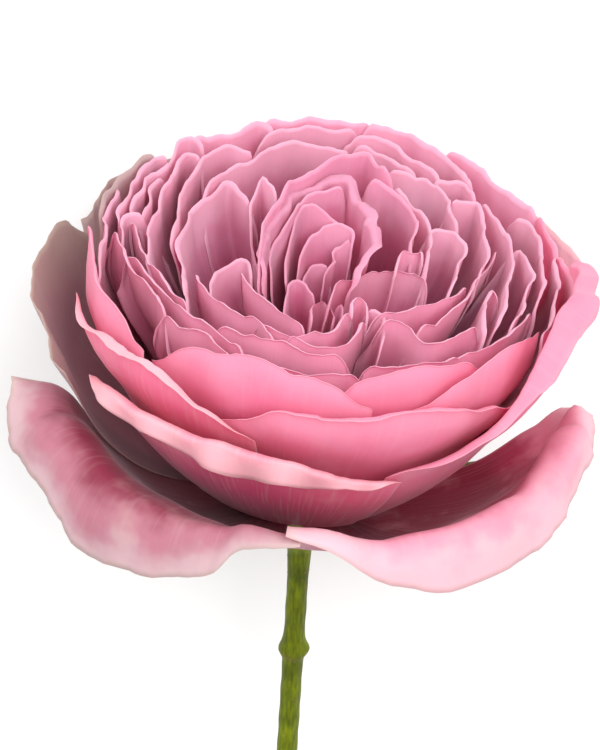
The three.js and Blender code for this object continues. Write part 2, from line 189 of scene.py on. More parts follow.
def polar(radius: float, degrees: float) -> tuple[float, float]:
    """Returns the plan point (x, f) at a radius and an azimuth from the flower's front."""
    turn = math.radians(degrees)
    return radius * math.sin(turn), radius * math.cos(turn)


# ---- Where the flower lies --------------------------------------------------------------------


@dataclass(frozen=True)
class Resting:
    """How the flower lies: tipped back about X, then set over its footprint.

    Attributes:
        tilt: Degrees that the flower's axis rises from the table.
        centre_x: Millimetres from the flower's axis to the middle of the footprint.
        centre_y: The same along the table, from the hip.
        low: How far the lowest point lies under the hip.
    """

    tilt: float = 16.0571
    centre_x: float = 1.3651
    centre_y: float = 40.3439
    low: float = -43.5555

    def matrix(self) -> np.ndarray:
        """Returns the 3 by 3 turn from (x, f, z) of the flower to the table's axes."""
        sin, cos = math.sin(math.radians(self.tilt)), math.cos(math.radians(self.tilt))
        return np.array([[-1, 0, 0], [0, sin, -cos], [0, cos, sin]], float)

    def world(self, points: np.ndarray) -> np.ndarray:
        """Turns flower points in millimetres into table points in metres."""
        shift = np.array([self.centre_x, self.centre_y, self.low])
        return (points @ self.matrix().T - shift) * MM

    def direction(self, way: Sequence[float]) -> Vector:
        """Turns a direction in the flower's frame into one on the table."""
        return Vector(self.matrix() @ np.asarray(way, float))


REST = Resting()


@dataclass(frozen=True)
class Cup:
    """The shape that all the cup's petals follow as they rise from the hip.

    Attributes:
        knots: Pairs of height and share of the plan radius reached there.
        drift: Millimetres that the sheets wander together near the rim.
        flare: Share of the radius that the inner petals lose by the time they reach the hip.
        steepest: Most that the curve may slope at a knot, against the rise just below it.
        outer: Plan radii over which petals turn from inner ones, which flare, to outer ones.
    """

    knots: tuple[tuple[float, float], ...] = (
        (0.3, 0.10), (2, 0.27), (5, 0.42), (10, 0.54), (20, 0.72), (30, 0.85), (35, 0.93),
        (40, 0.985), (50, 1.0), (64, 0.985))
    drift: float = 0.45
    flare: float = 0.42
    steepest: float = 2.2
    outer: tuple[float, float] = (35, 45)

    TOP = 50  # Millimetres above the hip where most edges end.

    def share(self, z: np.ndarray) -> np.ndarray:
        """Reads the share of the plan radius at each height off a smooth curve.

        Args:
            z: Heights above the hip.

        Returns:
            The shares.
        """
        heights, shares = np.array(self.knots).T
        rises = np.diff(shares) / np.diff(heights)
        slopes = np.gradient(shares, heights)
        slopes[0] = rises[0]
        slopes[1:] = np.minimum(slopes[1:], self.steepest * rises + 0.004)
        spot = np.clip(np.searchsorted(heights, z) - 1, 0, len(heights) - 2)
        step = heights[spot + 1] - heights[spot]
        t = np.clip((z - heights[spot]) / step, 0, 1)
        a, b = shares[spot], shares[spot + 1]
        m, n = slopes[spot] * step, slopes[spot + 1] * step
        return ((2 * t**3 - 3 * t**2 + 1) * a + (t**3 - 2 * t**2 + t) * m
                + (-2 * t**3 + 3 * t**2) * b + (t**3 - t**2) * n)

    def place(self, x: np.ndarray, f: np.ndarray, z: np.ndarray) -> np.ndarray:
        """Puts plan points at their heights, drawn in to the cup's shape.

        Args:
            x: Plan coordinate to the flower's right.
            f: Plan coordinate to its front.
            z: Height above the hip.

        Returns:
            Points in the flower's frame, in the last axis.
        """
        grown = (np.clip(z, 0, 1.2 * self.TOP) / self.TOP) ** 2 * self.drift
        dx = grown * (np.sin(0.29 * x + 0.16 * f + 1.3)
                      + 0.6 * np.sin(0.43 * f - 0.21 * x + 0.11 * z))
        df = grown * (np.sin(0.27 * f - 0.19 * x + 2.1)
                      + 0.6 * np.sin(0.38 * x + 0.24 * f + 0.13 * z))
        inner = 1 - smooth(np.hypot(x, f), *self.outer)
        loose = self.flare * inner * (1 - 0.6 * smooth(f, 0, 28))
        share = self.share(z) * (1 - loose * (1 - np.clip(z / self.TOP, 0, 1)))
        return np.stack([(x + dx) * share, (f + df) * share, z], axis=-1)


CUP = Cup()


# ---- Finishes ---------------------------------------------------------------------------------


class Weave(Enum):
    """Spacing of the patterns in a petal, in millimetres."""

    VEIN = 1.15
    FINE = 0.42
    PATCH = 11.0


@dataclass(frozen=True)
class PetalFinish:
    """A living rose petal: thin waxy skin over wet tissue, velvety inside and smoother outside.

    The colour runs from a dark foot to a pale free edge; the darkness of the foot and of the deep
    band above it is painted shade, where little light gets in between the crowded petals. Light
    comes through it warmer than it falls on it.

    Attributes:
        name: What the material is called.
        foot: Inner face at the hip, darkened as painted shade.
        deep: Inner face where its neighbours begin to hide it, darkened as painted shade.
        body: Inner face over most of its open length.
        crown: Inner face just under the edge.
        back_foot: Outer face at the hip, darkened as painted shade.
        back_deep: Outer face where its neighbours begin to hide it, darkened as painted shade.
        back_body: Outer face over most of its open length.
        back_crown: Outer face just under the edge.
        edge: The thin rim itself.
        blush: The colour of broad irregular patches.
        through: Colour of the light that comes through the petal.
        shine: Roughness of its skin.
        veins: Strength of the lengthwise streaks.
        stops: How far along the petal each colour of its inner face is reached.
        back_stops: The same for its outer face.
    """

    name: str
    foot: str = "#7A1234"
    deep: str = "#BC4270"
    body: str = "#DA8FB0"
    crown: str = "#EBBBD2"
    back_foot: str = "#9C224F"
    back_deep: str = "#CF5482"
    back_body: str = "#E492B4"
    back_crown: str = "#EEB3CC"
    edge: str = "#F6D8E6"
    blush: str = "#EDC3D5"
    through: str = "#FA78AA"
    shine: float = 0.55
    veins: float = 0.4
    stops: tuple[float, ...] = (0.28, 0.58, 0.82, 0.97)
    back_stops: tuple[float, ...] = (0.22, 0.50, 0.76, 0.97)

    # Shares of full strength: how far patches push the colour run, and how much of each layer
    # shows over the one below.
    PATCH_PUSH = 0.22
    VEIN_SHARE = 0.42
    PATCH_SHARE = 0.38
    EDGE_SHARE = 0.32
    THROUGH_TINT = 0.55
    THROUGH_SHARE = 0.40

    def ramp(self, along: bpy.types.NodeSocket, stops: Sequence[float],
             colours: Sequence[str]) -> bpy.types.NodeSocket:
        """Adds a colour run along the petal to the tree that a socket belongs to.

        Args:
            along: Socket that runs from 0 at the hip to 1 at the edge.
            stops: Position of each colour.
            colours: The hex colours.

        Returns:
            The colour socket.
        """
        made = node(along.id_data, "ShaderNodeValToRGB", {"Fac": along})
        band = made.color_ramp
        band.interpolation = "EASE"
        while len(band.elements) < len(stops):
            band.elements.new(0.5)
        for element, stop, colour in zip(band.elements, stops, colours):
            element.position = stop
            element.color = linear(colour)
        return made.outputs["Color"]

    def build(self) -> bpy.types.Material:
        """Builds the material.

        Returns:
            The finished material.
        """
        made, tree = blank_material(self.name)
        spans = node(tree, "ShaderNodeUVMap", uv_map="span")
        sizes = node(tree, "ShaderNodeUVMap", uv_map="size")
        outer = node(tree, "ShaderNodeAttribute", attribute_name="outer").outputs["Fac"]
        rim = node(tree, "ShaderNodeAttribute", attribute_name="rim").outputs["Fac"]
        along = node(tree, "ShaderNodeSeparateXYZ", {0: spans.outputs["UV"]}).outputs["Y"]
        place = node(tree, "ShaderNodeTexCoord").outputs["Object"]

        # Broad patches, a centimetre across: the petal is never one even colour.
        patch = node(tree, "ShaderNodeTexNoise", {
            "Vector": place, "Scale": 1 / (Weave.PATCH.value * MM), "Detail": 3.0,
            "Roughness": 0.55})
        shift = node(tree, "ShaderNodeMath", {
            0: patch.outputs["Fac"], 1: 0.5}, operation="SUBTRACT")
        reach = node(tree, "ShaderNodeMath", {0: shift.outputs[0], 1: self.PATCH_PUSH, 2: along},
                     operation="MULTIPLY_ADD").outputs[0]
        # The dark foot and deep colours of both faces are painted shade of the crevices between the
        # petals.
        face = self.ramp(reach, self.stops, (self.foot, self.deep, self.body, self.crown))
        back = self.ramp(reach, self.back_stops, (
            self.back_foot, self.back_deep, self.back_body, self.back_crown))
        both = node(tree, "ShaderNodeMix", {0: outer, 6: face, 7: back}, data_type="RGBA")

        # Veins fan out from the foot, a millimetre apart, and show as streaks of paler tissue.
        # A finer grain of rows of cells lies between them.
        vein, grain = (
            node(tree, "ShaderNodeTexNoise", {
                "Vector": node(tree, "ShaderNodeMapping", {
                    "Vector": sizes.outputs["UV"],
                    "Scale": (1 / spacing.value, along_scale, 1.0)}).outputs[0],
                "Scale": 1.0, "Detail": detail, "Roughness": falloff}, noise_dimensions="2D")
            for spacing, along_scale, detail, falloff in (
                (Weave.VEIN, 0.055, 2.0, 0.6), (Weave.FINE, 0.16, 1.0, 0.5)))
        streak = node(tree, "ShaderNodeMapRange", {
            "Value": vein.outputs["Fac"], "From Min": 0.52, "From Max": 0.76,
            "To Min": 0.0, "To Max": self.VEIN_SHARE * self.veins})
        veined = node(tree, "ShaderNodeMix", {
            0: streak.outputs[0], 6: both.outputs[2], 7: linear(self.blush)}, data_type="RGBA")
        pale = node(tree, "ShaderNodeMapRange", {
            "Value": patch.outputs["Fac"], "From Min": 0.56, "From Max": 0.78,
            "To Min": 0.0, "To Max": self.PATCH_SHARE})
        patched = node(tree, "ShaderNodeMix", {
            0: pale.outputs[0], 6: veined.outputs[2], 7: linear(self.blush)}, data_type="RGBA")
        # The rim is so thin that it looks almost white.
        thin = node(tree, "ShaderNodeMath", {0: rim, 1: self.EDGE_SHARE}, operation="MULTIPLY")
        skin = node(tree, "ShaderNodeMix", {
            0: thin.outputs[0], 6: patched.outputs[2], 7: linear(self.edge)}, data_type="RGBA")

        relief = node(tree, "ShaderNodeMath", {
            0: vein.outputs["Fac"], 1: 0.7, 2: grain.outputs["Fac"]}, operation="MULTIPLY_ADD")
        bump = node(tree, "ShaderNodeBump", {
            "Strength": 0.35, "Distance": 0.10 * MM, "Height": relief.outputs[0]})
        rough = node(tree, "ShaderNodeMapRange", {
            "Value": grain.outputs["Fac"], "From Min": 0.3, "From Max": 0.7,
            "To Min": self.shine - 0.05, "To Max": self.shine + 0.08})
        body = node(tree, "ShaderNodeBsdfPrincipled", {
            "Base Color": skin.outputs[2], "Roughness": rough.outputs[0], "Normal": bump.outputs[0],
            "IOR": 1.4, "Specular IOR Level": 0.35, "Sheen Weight": 0.25, "Sheen Roughness": 0.45,
            "Sheen Tint": (1.0, 0.86, 0.93, 1.0)})
        tint = node(tree, "ShaderNodeMix", {
            0: self.THROUGH_TINT, 6: skin.outputs[2], 7: linear(self.through)}, data_type="RGBA")
        glow = node(tree, "ShaderNodeBsdfTranslucent", {
            "Color": tint.outputs[2], "Normal": bump.outputs[0]})
        mixed = node(tree, "ShaderNodeMixShader", {
            0: self.THROUGH_SHARE, 1: body.outputs[0], 2: glow.outputs[0]})
        node(tree, "ShaderNodeOutputMaterial", {"Surface": mixed.outputs[0]})
        return made


HEART = PetalFinish("rose_petal_velvet_heart", deep="#B4305F", body="#D9789F", crown="#E7A9C6",
                    back_body="#E07FA6")
INSIDE = PetalFinish("rose_petal_velvet_inside")
OUTSIDE = PetalFinish(
    "rose_petal_satin_cup", foot="#8E1638", deep="#C9406F", body="#E07FA4", crown="#EBA5BF",
    back_foot="#DC2A6C", back_deep="#F8608F", back_body="#FC8DB4", back_crown="#FCACC9",
    edge="#FBD7DE", blush="#FBB9CC", shine=0.48, veins=0.6)
LIP = PetalFinish(
    "rose_petal_satin_lip", foot="#8E1638", deep="#C93E6C", body="#EC8FAB", crown="#F9C8D2",
    back_foot="#E02A72", back_deep="#F5528F", back_body="#F87CA8", back_crown="#FA9ABB",
    edge="#FBE3D9", blush="#F9CFD0", shine=0.46, veins=0.9)
# Its stops carry the dark foot and deep colours out past the cup's edge: a painted shadow of the
# cup on the guard's inner face.
GUARD = PetalFinish(
    "rose_petal_satin_guard", foot="#7E1C38", deep="#B9496E", body="#F3B0C6", crown="#FBD5E0",
    back_foot="#B84F6F", back_deep="#CF7E94", back_body="#E0A9B4", back_crown="#E8C2C6",
    edge="#F6E2D2", blush="#F6D6D4", through="#E27795", shine=0.5, veins=0.35,
    stops=(0.52, 0.72, 0.84, 0.96))
# A darker, greyer copy of the guard finish for the left guard: painted shade of the flower's left
# side, with its dark foot carried past the cup as a painted shadow of the cup.
SHADED = PetalFinish(
    "rose_petal_shaded_guard", foot="#571426", deep="#943A52", body="#C98798", crown="#DFC2C8",
    back_foot="#8E4258", back_deep="#A8687A", back_body="#C2959D", back_crown="#D2B6B4",
    edge="#E8DDC4", blush="#D8BDB8", through="#C0607A", shine=0.5, veins=0.35,
    stops=(0.56, 0.76, 0.88, 0.99))
# The finish of the outermost petals on the flower's left and back-left: greyer and darker than the
# guard's, partly the brownish cast those petals have and partly painted shade of that side.
AGED_AND_SHADED = PetalFinish(
    "rose_petal_weathered_guard", foot="#8A4A5C", deep="#A37080", body="#C49AA4", crown="#CCB0B2",
    back_foot="#96606E", back_deep="#A67A86", back_body="#BA9AA2", back_crown="#C0ACA4",
    edge="#C4B89C", blush="#BBA8A2", through="#C0808C", shine=0.6, veins=0.4)


@dataclass(frozen=True)
class GreenFinish:
    """Living green skin with a faint wax bloom: the bark of the young stem, or a sepal.

    Attributes:
        name: What the material is called.
        lit: The lighter green, mixed with shade in random patches.
        shade: The darker green, mixed with lit in random patches.
        stain: Brown of scars and specks.
        stretch: Scale of the pattern along the skin, against that across it.
        speck: Spacing of the brown specks in millimetres.
    """

    name: str
    lit: str = "#727E00"
    shade: str = "#3E4A02"
    stain: str = "#6B4A22"
    stretch: float = 0.16
    speck: float = 1.6

    FIBRES = 1.6  # Bark fibres to a millimetre round the stem.

    def build(self) -> bpy.types.Material:
        """Builds the material.

        Returns:
            The finished material.
        """
        made, tree = blank_material(self.name)
        sizes = node(tree, "ShaderNodeUVMap", uv_map="size")
        place = node(tree, "ShaderNodeTexCoord").outputs["Object"]
        fibre_map = node(tree, "ShaderNodeMapping", {
            "Vector": sizes.outputs["UV"],
            "Scale": (self.FIBRES, self.FIBRES * self.stretch, 1.0)})
        fibre = node(tree, "ShaderNodeTexNoise", {
            "Vector": fibre_map.outputs[0], "Scale": 1.0, "Detail": 4.0, "Roughness": 0.6})
        patch = node(tree, "ShaderNodeTexNoise", {"Vector": place, "Scale": 90.0, "Detail": 2.0})
        blend = node(tree, "ShaderNodeMath", {0: fibre.outputs["Fac"], 1: patch.outputs["Fac"]},
                     operation="MULTIPLY")
        where = node(tree, "ShaderNodeMapRange", {
            "Value": blend.outputs[0], "From Min": 0.14, "From Max": 0.38})
        green = node(tree, "ShaderNodeMix", {
            0: where.outputs[0], 6: linear(self.shade), 7: linear(self.lit)}, data_type="RGBA")
        spots = node(tree, "ShaderNodeTexVoronoi", {
            "Vector": place, "Scale": 1 / (self.speck * MM), "Randomness": 1.0})
        small = node(tree, "ShaderNodeMapRange", {
            "Value": spots.outputs["Distance"], "From Min": 0.10, "From Max": 0.24,
            "To Min": 0.75, "To Max": 0.0})
        speck = node(tree, "ShaderNodeMath", {0: small.outputs[0], 1: patch.outputs["Fac"]},
                     operation="MULTIPLY")
        scar = node(tree, "ShaderNodeAttribute", attribute_name="scar").outputs["Fac"]
        brown = node(tree, "ShaderNodeMath", {0: speck.outputs[0], 1: scar}, operation="MAXIMUM")
        skin = node(tree, "ShaderNodeMix", {
            0: brown.outputs[0], 6: green.outputs[2], 7: linear(self.stain)}, data_type="RGBA")
        bump = node(tree, "ShaderNodeBump", {
            "Strength": 0.5, "Distance": 0.12 * MM, "Height": fibre.outputs["Fac"]})
        body = node(tree, "ShaderNodeBsdfPrincipled", {
            "Base Color": skin.outputs[2], "Roughness": 0.52, "Normal": bump.outputs[0],
            "IOR": 1.42, "Specular IOR Level": 0.22})
        node(tree, "ShaderNodeOutputMaterial", {"Surface": body.outputs[0]})
        return made


@dataclass(frozen=True)
class TableFinish:
    """Plain matt board, pale and even, with only the faintest mottling.

    Attributes:
        name: What the material is called.
        pale: Its colour.
        warm: The colour of the mottling.
    """

    name: str = "plain_matt_board"
    pale: str = "#F6F6F6"
    warm: str = "#F0F0F0"

    def build(self) -> bpy.types.Material:
        """Builds the material.

        Returns:
            The finished material.
        """
        made, tree = blank_material(self.name)
        place = node(tree, "ShaderNodeTexCoord").outputs["Object"]
        cloud = node(tree, "ShaderNodeTexNoise", {"Vector": place, "Scale": 9.0, "Detail": 3.0})
        skin = node(tree, "ShaderNodeMix", {
            0: cloud.outputs["Fac"], 6: linear(self.pale), 7: linear(self.warm)}, data_type="RGBA")
        body = node(tree, "ShaderNodeBsdfPrincipled", {
            "Base Color": skin.outputs[2], "Roughness": 0.9, "Specular IOR Level": 0.2})
        node(tree, "ShaderNodeOutputMaterial", {"Surface": body.outputs[0]})
        return made


@dataclass(frozen=True)
class BeadFinish:
    """Dry corky skin of a pore or a gland: dull, rough and a little paler than a scar.

    Attributes:
        name: What the material is called.
        cork: Its colour.
        dirt: The colour of its darker specks.
    """

    name: str
    cork: str
    dirt: str = "#3A2A12"

    def build(self) -> bpy.types.Material:
        """Builds the material.

        Returns:
            The finished material.
        """
        made, tree = blank_material(self.name)
        place = node(tree, "ShaderNodeTexCoord").outputs["Object"]
        cloud = node(tree, "ShaderNodeTexNoise", {"Vector": place, "Scale": 700.0, "Detail": 2.0})
        skin = node(tree, "ShaderNodeMix", {
            0: cloud.outputs["Fac"], 6: linear(self.cork), 7: linear(self.dirt)}, data_type="RGBA")
        body = node(tree, "ShaderNodeBsdfPrincipled", {
            "Base Color": skin.outputs[2], "Roughness": 0.8, "Specular IOR Level": 0.2})
        node(tree, "ShaderNodeOutputMaterial", {"Surface": body.outputs[0]})
        return made


Finish = PetalFinish | GreenFinish | TableFinish | BeadFinish


class Paints:
    """Makes each finish's material once and hands it out."""

    def __init__(self) -> None:
        """Starts with none made."""
        self.made: dict[str, bpy.types.Material] = {}

    def get(self, finish: Finish) -> bpy.types.Material:
        """Hands out the material of a finish, built the first time it is asked for.

        Args:
            finish: The finish.

        Returns:
            Its material.
        """
        if finish.name not in self.made:
            self.made[finish.name] = finish.build()
        return self.made[finish.name]


# ---- Closed sheets ----------------------------------------------------------------------------


@dataclass
class Sheet:
    """A thin closed sheet grown from a grid of points on its middle surface.

    Attributes:
        middle: Grid of points, columns by rows by 3, in the flower's frame.
        thickness: Millimetres at each grid point.
        flip: True where the grid's own normal points to the inner face.
    """

    middle: np.ndarray
    thickness: np.ndarray
    flip: bool = False

    FREE_FROM = 0.35  # Share of the length above which the sides count as free edge.
    RIM_BAND = 0.40  # Millimetres from the edge over which the rim turns pale.
    PATTERN_SHIFT = np.array([3.7, 2.3])

    def normals(self) -> np.ndarray:
        """Finds the unit normal at each grid point, towards the outer face.

        Returns:
            The normals, as a grid like the middle.
        """
        du = np.gradient(self.middle, axis=0)
        dv = np.gradient(self.middle, axis=1)
        way = np.cross(du, dv)
        way /= np.maximum(np.linalg.norm(way, axis=-1, keepdims=True), 1e-9)
        return -way if self.flip else way

    def build(self, name: str, paint: bpy.types.Material) -> bpy.types.Object:
        """Makes the mesh object, with its two UV maps and its attributes.

        Args:
            name: The object's name.
            paint: Its material.

        Returns:
            The object, in place on the table.
        """
        columns, rows = self.middle.shape[:2]
        half = self.normals() * self.thickness[..., None] / 2
        points = np.concatenate([
            wall.reshape(-1, 3) for wall in (self.middle - half, self.middle + half)])
        size = columns * rows
        index = np.arange(size).reshape(columns, rows)
        a, b, c, d = index[:-1, :-1], index[1:, :-1], index[1:, 1:], index[:-1, 1:]
        quads = [np.stack([a, d, c, b], -1).reshape(-1, 4),
                 np.stack([a, b, c, d], -1).reshape(-1, 4) + size]
        ring = np.concatenate([index[:, 0], index[-1, 1:], index[-2::-1, -1], index[0, -2:0:-1]])
        after = np.roll(ring, -1)
        quads.append(np.stack([ring, after, after + size, ring + size], -1))
        faces = np.concatenate(quads)
        if not self.flip:
            faces = faces[:, ::-1]
        mesh = bpy.data.meshes.new(name)
        mesh.from_pydata(REST.world(points).tolist(), [], faces.tolist())
        mesh.polygons.foreach_set("use_smooth", [True] * len(mesh.polygons))
        self.paint_maps(mesh, columns, rows)
        mesh.materials.append(paint)
        return linked_object(name, mesh)

    def paint_maps(self, mesh: bpy.types.Mesh, columns: int, rows: int) -> None:
        """Writes the UV maps span (0 to 1) and size (millimetres), and outer and rim.

        Args:
            mesh: The mesh to write to.
            columns: Columns of the grid.
            rows: Rows of the grid.
        """
        step_u = np.linalg.norm(np.diff(self.middle, axis=0), axis=-1)
        step_v = np.linalg.norm(np.diff(self.middle, axis=1), axis=-1)
        run_u = np.concatenate([np.zeros((1, rows)), np.cumsum(step_u, axis=0)])
        run_v = np.concatenate([np.zeros((columns, 1)), np.cumsum(step_v, axis=1)], axis=1)
        widest = run_u[-1].max()
        u = np.linspace(0, 1, columns)[:, None] * np.ones(rows)
        v = run_v / run_v[:, -1:]
        sides = np.minimum(run_u, run_u[-1:] - run_u)
        free = np.minimum(run_v[:, -1:] - run_v, np.where(v > self.FREE_FROM, sides, np.inf))
        rim = 1 - smooth(free, 0.02, self.RIM_BAND)
        span = np.stack([u, v], -1).reshape(-1, 2)
        size = np.stack([(u - 0.5) * widest, run_v], -1).reshape(-1, 2)
        # Each petal reads its own part of the vein pattern, set by where its edge starts.
        size = size + self.middle[0, -1, :2] * self.PATTERN_SHIFT
        loops = np.empty(len(mesh.loops), dtype=np.int32)
        mesh.loops.foreach_get("vertex_index", loops)
        for title, values in (("span", span), ("size", size)):
            layer = mesh.uv_layers.new(name=title)
            layer.uv.foreach_set("vector", np.concatenate([values, values])[loops].ravel())
        count = columns * rows
        outer = mesh.attributes.new("outer", "FLOAT", "POINT")
        outer.data.foreach_set("value", np.repeat([0.0, 1.0], count))
        edge = mesh.attributes.new("rim", "FLOAT", "POINT")
        edge.data.foreach_set("value", np.concatenate([rim.ravel(), rim.ravel()]))


# ---- Petals of the cup ------------------------------------------------------------------------


@dataclass
class CupPetal:
    """One petal that stands in the cup.

    Attributes:
        name: The object's name.
        rim: The run of its edge as points (x, f, z), where x and f are plan places in the cup.
        finish: What its skin is like.
        stands_for: The CAD node it replaces, or None for a small petal that CAD leaves out.
        curl: Radius of the rolled edge.
        roll: Degrees that the edge rolls outwards.
        hang: Millimetres that the edge hangs on past the roll, spread along the rim.
        frill: Millimetres of ruffle along the edge.
        ragged: How uneven its edge is, where 1 is usual.
        thick: Millimetres through the middle of the petal.
        tail: Millimetres that each end runs on as it dips behind its neighbour.
    """

    name: str
    rim: list[tuple[float, float, float]]
    finish: PetalFinish
    stands_for: str | None = None
    curl: float = 0.6
    roll: float = 60.0
    hang: tuple[float, ...] = (0.0, 0.0)
    frill: float = 0.22
    ragged: float = 1.0
    thick: float = 0.38
    tail: float = 4.0

    BODY_ROWS = 18
    ROLL_ROWS = 6
    HANG_ROWS = 4
    COLUMN_STEP = 0.85  # Millimetres along the rim between columns.
    FOOT = 0.35  # Millimetres above the hip where the petal starts.
    TAIL_DROP = 2.6  # How steeply a tail dips.
    TIP_SHARE = 0.35  # Share of the roll that is left at a petal's ends.
    CORE_SHARE = 0.35  # Share of the thickness where the petals crowd round the axis.
    SIDE_SHARE = 0.55  # Share of the thickness at the sides.
    RIM_THINNING = 0.62  # Share of the thickness that is gone at the rim.
    ROW_SPREAD = 1.25  # Above 1, rows stand closer near the foot.
    LEAST_HANG = 0.25  # Millimetres past the roll that every edge runs on.
    ROLL_WAVE = 0.2  # How unevenly the edge rolls.
    SWIRL = (0.0, -6.0)  # Plan point that petals turn their outer faces away from.
    SCALLOPS = ((17.0, 0.32), (7.5, 0.22), (3.1, 0.09))  # Length and height, millimetres.
    RUFFLES = ((11.0, 0.65), (5.2, 0.35))  # Length in millimetres and share of the frill.
    NICK_EVERY = 22  # Millimetres of rim to a nick.
    NICK_WIDTH = 0.9

    def seed(self) -> np.random.Generator:
        """Returns this petal's own fixed source of irregularity."""
        return np.random.default_rng(sum(ord(c) * (i + 7) for i, c in enumerate(self.name)))

    def path(self) -> np.ndarray:
        """Runs the rim as a dense smooth line, with its two tails.

        Returns:
            Points (x, f, z) along the rim.
        """
        raw = np.array(self.rim, float)
        if self.tail:
            ends = []
            for end, inner in ((raw[0], raw[1]), (raw[-1], raw[-2])):
                way = (end - inner)[:2] / max(1e-6, np.linalg.norm((end - inner)[:2]))
                dipped = end[2] - self.tail * self.TAIL_DROP
                ends.append(np.append(end[:2] + way * self.tail, dipped))
            raw = np.vstack([ends[0], raw, ends[1]])
        length = float(np.linalg.norm(np.diff(raw, axis=0), axis=1).sum())
        return spline(raw, int(np.clip(length / self.COLUMN_STEP, 16, 84)))

    def uneven(self, u: np.ndarray, length: float, chance: np.random.Generator) -> np.ndarray:
        """Works out how far the edge rises or dips at each u, with its scallops and nicks.

        Args:
            u: Places along the rim.
            length: The rim's length in millimetres.
            chance: The petal's own source of irregularity.

        Returns:
            The differences in height.
        """
        top = np.zeros_like(u)
        for wave, size in self.SCALLOPS:
            top = top + size * np.sin(2 * math.pi * (u * length / wave + chance.random()))
        for _ in range(int(length / self.NICK_EVERY)):
            place, depth = chance.uniform(0.1, 0.9), chance.uniform(0.2, 0.8)
            top = top - depth * np.exp(-((u - place) * length / self.NICK_WIDTH) ** 2)
        return top * self.ragged

    def sheet(self) -> Sheet:
        """Grows the petal from the hip up to its rim, then round its rolled edge.

        Returns:
            The petal as a sheet in the flower's frame.
        """
        chance = self.seed()
        path = self.path()
        columns = len(path)
        length = float(np.linalg.norm(np.diff(path, axis=0), axis=1).sum())
        way = np.gradient(path[:, :2], axis=0)
        way /= np.maximum(np.linalg.norm(way, axis=1, keepdims=True), 1e-6)
        out = np.stack([-way[:, 1], way[:, 0]], axis=1)
        outwards = path[columns // 2, :2] - np.array(self.SWIRL)
        sign = 1.0 if out[columns // 2] @ outwards >= 0 else -1.0
        out *= sign
        u = np.linspace(0, 1, columns)
        top = path[:, 2] + self.uneven(u, length, chance)
        ends = 1 - np.abs(2 * u - 1) ** 6
        fullness = self.TIP_SHARE + (1 - self.TIP_SHARE) * ends
        curl = self.curl * fullness
        turn = math.radians(self.roll) * fullness * (
            1 + self.ROLL_WAVE * self.ragged
            * np.sin(2 * math.pi * (u * length / 13 + chance.random())))
        hang = ease(self.hang, u)
        crest = top - curl * np.sin(np.minimum(turn, math.pi / 2))
        offsets, heights, ramps = [], [], []
        for k in range(self.BODY_ROWS):
            t = (k / (self.BODY_ROWS - 1)) ** self.ROW_SPREAD
            heights.append(self.FOOT + (crest - self.FOOT) * t)
            offsets.append(np.zeros(columns))
            ramps.append(np.full(columns, t))
        for k in range(1, self.ROLL_ROWS + 1):
            angle = turn * k / self.ROLL_ROWS
            heights.append(crest + curl * np.sin(angle))
            offsets.append(curl * (1 - np.cos(angle)))
            ramps.append(np.ones(columns))
        for k in range(1, self.HANG_ROWS + 1):
            reach = (hang + self.LEAST_HANG) * k / self.HANG_ROWS
            heights.append(crest + curl * np.sin(turn) + reach * np.cos(turn))
            offsets.append(curl * (1 - np.cos(turn)) + reach * np.sin(turn))
            ramps.append(np.ones(columns))
        height = np.stack(heights, axis=1)
        offset = np.stack(offsets, axis=1)
        ramp = np.stack(ramps, axis=1)
        wave = np.zeros(columns)
        for span, size in self.RUFFLES:
            wave += size * np.sin(2 * math.pi * (u * length / span + chance.random()))
        offset = offset + self.frill * wave[:, None] * ramp ** 3
        x = path[:, 0:1] + out[:, 0:1] * offset
        f = path[:, 1:2] + out[:, 1:2] * offset
        grid = CUP.place(x, f, height)
        radius = np.linalg.norm(grid[..., :2], axis=-1)
        thin = self.thick * (self.CORE_SHARE + (1 - self.CORE_SHARE) * smooth(radius, 3, 14))
        rows = height.shape[1]
        late = smooth(np.arange(rows) / (rows - 1), 0.45, 0.9)
        sides = self.SIDE_SHARE + (1 - self.SIDE_SHARE) * ends[:, None]
        thickness = thin * (1 - self.RIM_THINNING * late[None, :]) * sides
        return Sheet(grid, thickness, flip=sign > 0)


# ---- The petals, as they stand in the cup -----------------------------------------------------

RIM_HEIGHT = 51.0
RIM_SLOPE = 0.10
RING_STEPS = 12


def standing(name: str, rim: Sequence[tuple[float, ...]], lift: float = 0.0,
             finish: PetalFinish = INSIDE, small: bool = False, **shape: Any) -> CupPetal:
    """Describes a petal that stands inside the cup and ends near the sloping rim plane.

    Args:
        name: Its name, which is its CAD node's without the word petal.
        rim: The run of its edge as points (x, f), with a third number where one is lifted.
        lift: Height of the whole edge above the rim plane.
        finish: What its skin is like.
        small: True for a small petal that the CAD model leaves out.
        **shape: Other values of the petal.

    Returns:
        The petal.
    """
    run = [(p[0], p[1], RIM_HEIGHT - RIM_SLOPE * p[1] + lift + (p[2] if len(p) > 2 else 0.0))
           for p in rim]
    title = f"petal_{name}"
    return CupPetal(title, run, finish, None if small else title, **shape)


def ringed(name: str, radii: tuple[float, float], run: tuple[float, float], heights: list[float],
           **shape: Any) -> CupPetal:
    """Describes a petal that closes the cup at its front.

    Args:
        name: Its name without the word petal.
        radii: Plan radius at each end.
        run: Azimuths that it runs between, in degrees.
        heights: Height of its edge along that run.
        **shape: Other values of the petal.

    Returns:
        The petal.
    """
    places = np.linspace(0, 1, RING_STEPS + 1)
    rim = [polar(radii[0] + (radii[1] - radii[0]) * t, run[0] + (run[1] - run[0]) * t)
           + (float(rise),) for t, rise in zip(places, ease(heights, places))]
    title = f"petal_{name}"
    shape.setdefault("finish", OUTSIDE)
    shape.setdefault("tail", 0.0)
    return CupPetal(title, rim, stands_for=title, **shape)


